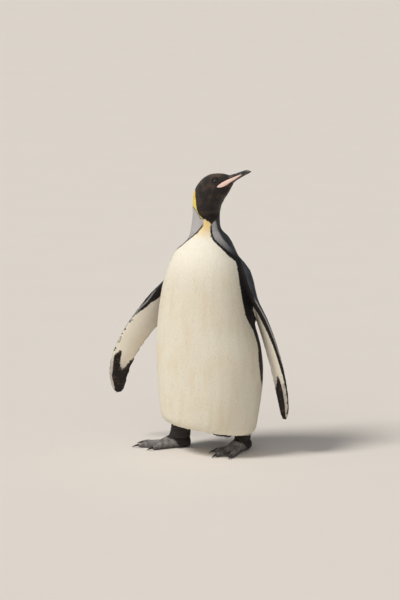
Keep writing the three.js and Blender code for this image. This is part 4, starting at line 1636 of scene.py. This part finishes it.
    @staticmethod
    def _flat(points: np.ndarray) -> np.ndarray:
        """Returns the places on a map of two cylinders side by side, one for each leg."""
        maps = np.empty((len(points), 2))
        for number, side in enumerate(("leg_left", "leg_right")):
            low, high = (np.array(corner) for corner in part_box(side))
            on = np.abs(points[:, 0] - (low[0] + high[0]) / 2) < 0.06
            off = points[on] - (low + high) / 2
            maps[on, 0] = (np.arctan2(off[:, 0], off[:, 1]) / (2 * np.pi) + 0.5 + number) / 2
            maps[on, 1] = off[:, 2] / 0.2 + 0.5
        return on_map(*np.clip(maps, 0, 1).T)


# ---- Bill, plates, claws and eyes ----------------------------------------------------------------


@dataclass
class Horn:
    """A horny part: its solid's own shape on a fine net, rounded, and dressed as horn."""

    node: bpy.types.Object
    slot: str
    finish: bpy.types.Material
    pitch: float = 0.0007
    passes: int = 8
    grow: float = 0.0001

    def build(self) -> bpy.types.Object:
        """Returns the finished part, which stands for its CAD node."""
        mesh = remeshed(welded([self.node], self.grow), self.pitch)
        net = Net(mesh)
        net.smooth(np.full(len(net.at), float(self.passes)))
        piece = add_piece(f"{self.node.name}_horn", mesh, self.finish)
        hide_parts(self.node.name)
        return piece


@dataclass
class Eye:
    """An eyeball with its iris, and the two lids round it."""

    node: bpy.types.Object
    anatomy: Anatomy
    finish: bpy.types.Material
    lid_finish: bpy.types.Material
    opening: float = 0.0050
    lid: float = 0.0009

    def build(self) -> None:
        """Builds the ball and its lids."""
        low, high = (np.array(corner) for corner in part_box(self.node.name))
        centre = (low + high) / 2
        radius = float((high - low).mean() / 2)
        outward = centre - self.anatomy.eye_middle
        outward /= np.linalg.norm(outward)
        turn = Vector((0, 0, 1)).rotation_difference(Vector(outward)).to_matrix().to_4x4()
        place = Matrix.Translation(Vector(centre)) @ turn
        self._ball(place, radius)
        self._lids(place, radius)

    def _ball(self, place: Matrix, radius: float) -> None:
        """Makes the ball, with the way across its iris painted on it."""
        ball = bmesh.new()
        bmesh.ops.create_uvsphere(ball, u_segments=48, v_segments=32, radius=radius)
        mesh = mesh_from(ball, "ball")
        at = numbers(mesh.vertices, "co", 3)
        across = np.arctan2(np.hypot(at[:, 0], at[:, 1]), at[:, 2]) * radius / self.opening
        paint(mesh, "across", across)
        mesh.transform(place)
        mesh.polygons.foreach_set("use_smooth", np.ones(len(mesh.polygons), bool))
        piece = add_piece(f"{self.node.name}_ball", mesh, self.finish)
        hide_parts(self.node.name)

    def _lids(self, place: Matrix, radius: float) -> None:
        """Makes the ring of the lids, close on the ball."""
        ring = bmesh.new()
        level = math.sqrt(radius**2 - self.opening**2)
        matrix = Matrix.Translation((self.opening, 0, level)) @ Matrix.Rotation(math.pi / 2, 4, "X")
        bmesh.ops.create_circle(ring, segments=10, radius=self.lid, matrix=matrix)
        bmesh.ops.spin(
            ring, geom=ring.verts[:] + ring.edges[:], cent=(0, 0, 0), axis=(0, 0, 1),
            angle=2 * math.pi, steps=40, use_merge=True,
        )
        bmesh.ops.remove_doubles(ring, verts=ring.verts, dist=1e-6)
        bmesh.ops.recalc_face_normals(ring, faces=ring.faces)
        mesh = mesh_from(ring, "lids")
        mesh.transform(place)
        mesh.polygons.foreach_set("use_smooth", np.ones(len(mesh.polygons), bool))
        add_piece(f"{self.node.name}_lids", mesh, self.lid_finish)


@dataclass
class HardParts:
    """The bill, its plates, the claws and the eyes."""

    anatomy: Anatomy

    def build(self) -> None:
        """Builds them all."""
        nodes = self.anatomy.nodes
        black = HornFinish("horn_bill", srgb(38, 36, 37), srgb(112, 110, 110), grain=110.0).material()
        pink = HornFinish("horn_plate", srgb(240, 204, 192), srgb(250, 226, 216), roughness=0.4).material()
        claw = HornFinish("horn_claw", srgb(22, 20, 20), srgb(70, 66, 64)).material()
        for name in ("bill_upper", "bill_lower"):
            Horn(nodes[name], "bill", black).build()
        for name in ("bill_plate_left", "bill_plate_right"):
            Horn(nodes[name], "bill_plate", pink, pitch=0.0005, passes=5).build()
        for name in sorted(nodes):
            if name.startswith("claw_"):
                Horn(nodes[name], "claw", claw, pitch=0.0006, passes=4).build()
        wet = EyeFinish("eye_wet").material()
        lids = LidFinish("lids").material()
        for name in ("eye_left", "eye_right"):
            Eye(nodes[name], self.anatomy, wet, lids).build()


@dataclass
class FootScales:
    """The small horny scales of the feet."""

    plumage: Plumage
    cut: Cut = Cut(
        length=0.0036, width=0.0030, spacing=0.0021, rise=0.00035, thickness=0.0004, rows=3, tousle=0.2
    )
    sole: float = 0.0025  # below this height a foot is bare

    def build(self) -> None:
        """Lays the scales of each foot."""
        horny = PlumageFinish("foot_scales", root_shade=0.7, tip_shade=1.1, roughness=0.66, sheen=0.0)
        material = horny.material()

        def size(points: np.ndarray) -> np.ndarray:
            """Scales are largest on the toes' tops."""
            return 0.8 + 0.35 * ramp(points[:, 2], 0.004, 0.016)

        def keep(points: np.ndarray) -> np.ndarray:
            """The soles stay bare."""
            return points[:, 2] > self.sole

        for side in FEET:
            low, high = (np.array(corner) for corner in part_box(side.value))

            def unwrap(points: np.ndarray, low: np.ndarray = low, high: np.ndarray = high) -> np.ndarray:
                """Returns the places seen from above, with the heights shearing them apart."""
                share = (points - low) / (high - low)
                return on_map(share[:, 0] * 0.8 + share[:, 2] * 0.18, share[:, 1])

            sown = self.plumage.sow(self.cut, [side], size, keep)
            name = side.value.replace("foot", "scales")
            self.plumage.lay(name, "foot_skin", sown, self.cut, material, unwrap)


# ---- Studio --------------------------------------------------------------------------------------


@dataclass
class Studio:
    """A pale floor, soft light and the camera."""

    aim: Vector = field(default_factory=lambda: Vector((-0.0031, 0.0575, 0.445)))
    azimuth: float = 20.0
    elevation: float = 10.0
    distance: float = 8.0
    lens: float = 161.3
    far: float = 200.0  # the camera sees floor out to here
    room_strength: float = 0.26
    room_colour: Colour = (1.0, 0.985, 0.96)

    def build(self) -> None:
        """Builds the studio."""
        self._floor()
        self._lamp("key", turn=-42.0, height=52.0, strength=2.05, spread=18.0, colour=(1.0, 0.965, 0.91))
        self._lamp("fill", turn=0.0, height=24.0, strength=0.42, spread=60.0, colour=(1.0, 0.98, 0.95))
        self._room()
        self._camera()
        bpy.context.scene.view_settings.view_transform = "Standard"

    def _floor(self) -> None:
        """Lays the floor."""
        net = bmesh.new()
        bmesh.ops.create_grid(net, x_segments=8, y_segments=8, size=self.far / 2)
        mesh = mesh_from(net, "floor")
        mesh.materials.append(FloorFinish("floor_pale").material())
        floor = bpy.data.objects.new("floor", mesh)
        bpy.context.scene.collection.objects.link(floor)

    @staticmethod
    def _lamp(
        name: str, turn: float, height: float, strength: float, spread: float, colour: Colour
    ) -> None:
        """Hangs a soft light far off.

        Args:
            name: Its name.
            turn: Where it hangs, in degrees from the front to the bird's left.
            height: How high, in degrees above the floor.
            strength: Its strength.
            spread: How large it looks from the bird, in degrees.
            colour: Its colour.
        """
        lamp = bpy.data.lights.new(name, "SUN")
        lamp.energy = strength
        lamp.angle = math.radians(spread)
        lamp.color = colour
        way = heading(turn, height)
        held = bpy.data.objects.new(name, lamp)
        held.location = way * 4
        held.rotation_euler = way.to_track_quat("Z", "Y").to_euler()
        bpy.context.scene.collection.objects.link(held)

    def _room(self) -> None:
        """Fills the room with pale light."""
        world = bpy.data.worlds.new("room")
        world.use_nodes = True
        background = world.node_tree.nodes["Background"]
        background.inputs["Color"].default_value = (*self.room_colour, 1.0)
        background.inputs["Strength"].default_value = self.room_strength
        bpy.context.scene.world = world

    def _camera(self) -> None:
        """Places the camera."""
        back = heading(self.azimuth, self.elevation)
        data = bpy.data.cameras.new("camera")
        data.lens = self.lens
        data.clip_end = self.far
        camera = bpy.data.objects.new("camera", data)
        camera.location = self.aim + back * self.distance
        camera.rotation_euler = (-back).to_track_quat("-Z", "Y").to_euler()
        bpy.context.scene.collection.objects.link(camera)
        bpy.context.scene.camera = camera


def main() -> None:
    """Builds the bird and its studio."""
    logging.basicConfig(level=logging.INFO, format="%(name)s: %(message)s")
    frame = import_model()
    anatomy = Anatomy(frame["nodes"])
    markings = Markings(anatomy)
    skin = Skin(anatomy, markings)
    skin.build()
    plumage = Plumage(skin, anatomy, markings)
    Coat(plumage).build()
    FootScales(plumage).build()
    HardParts(anatomy).build()
    Studio().build()


if __name__ == "__main__":
    main()
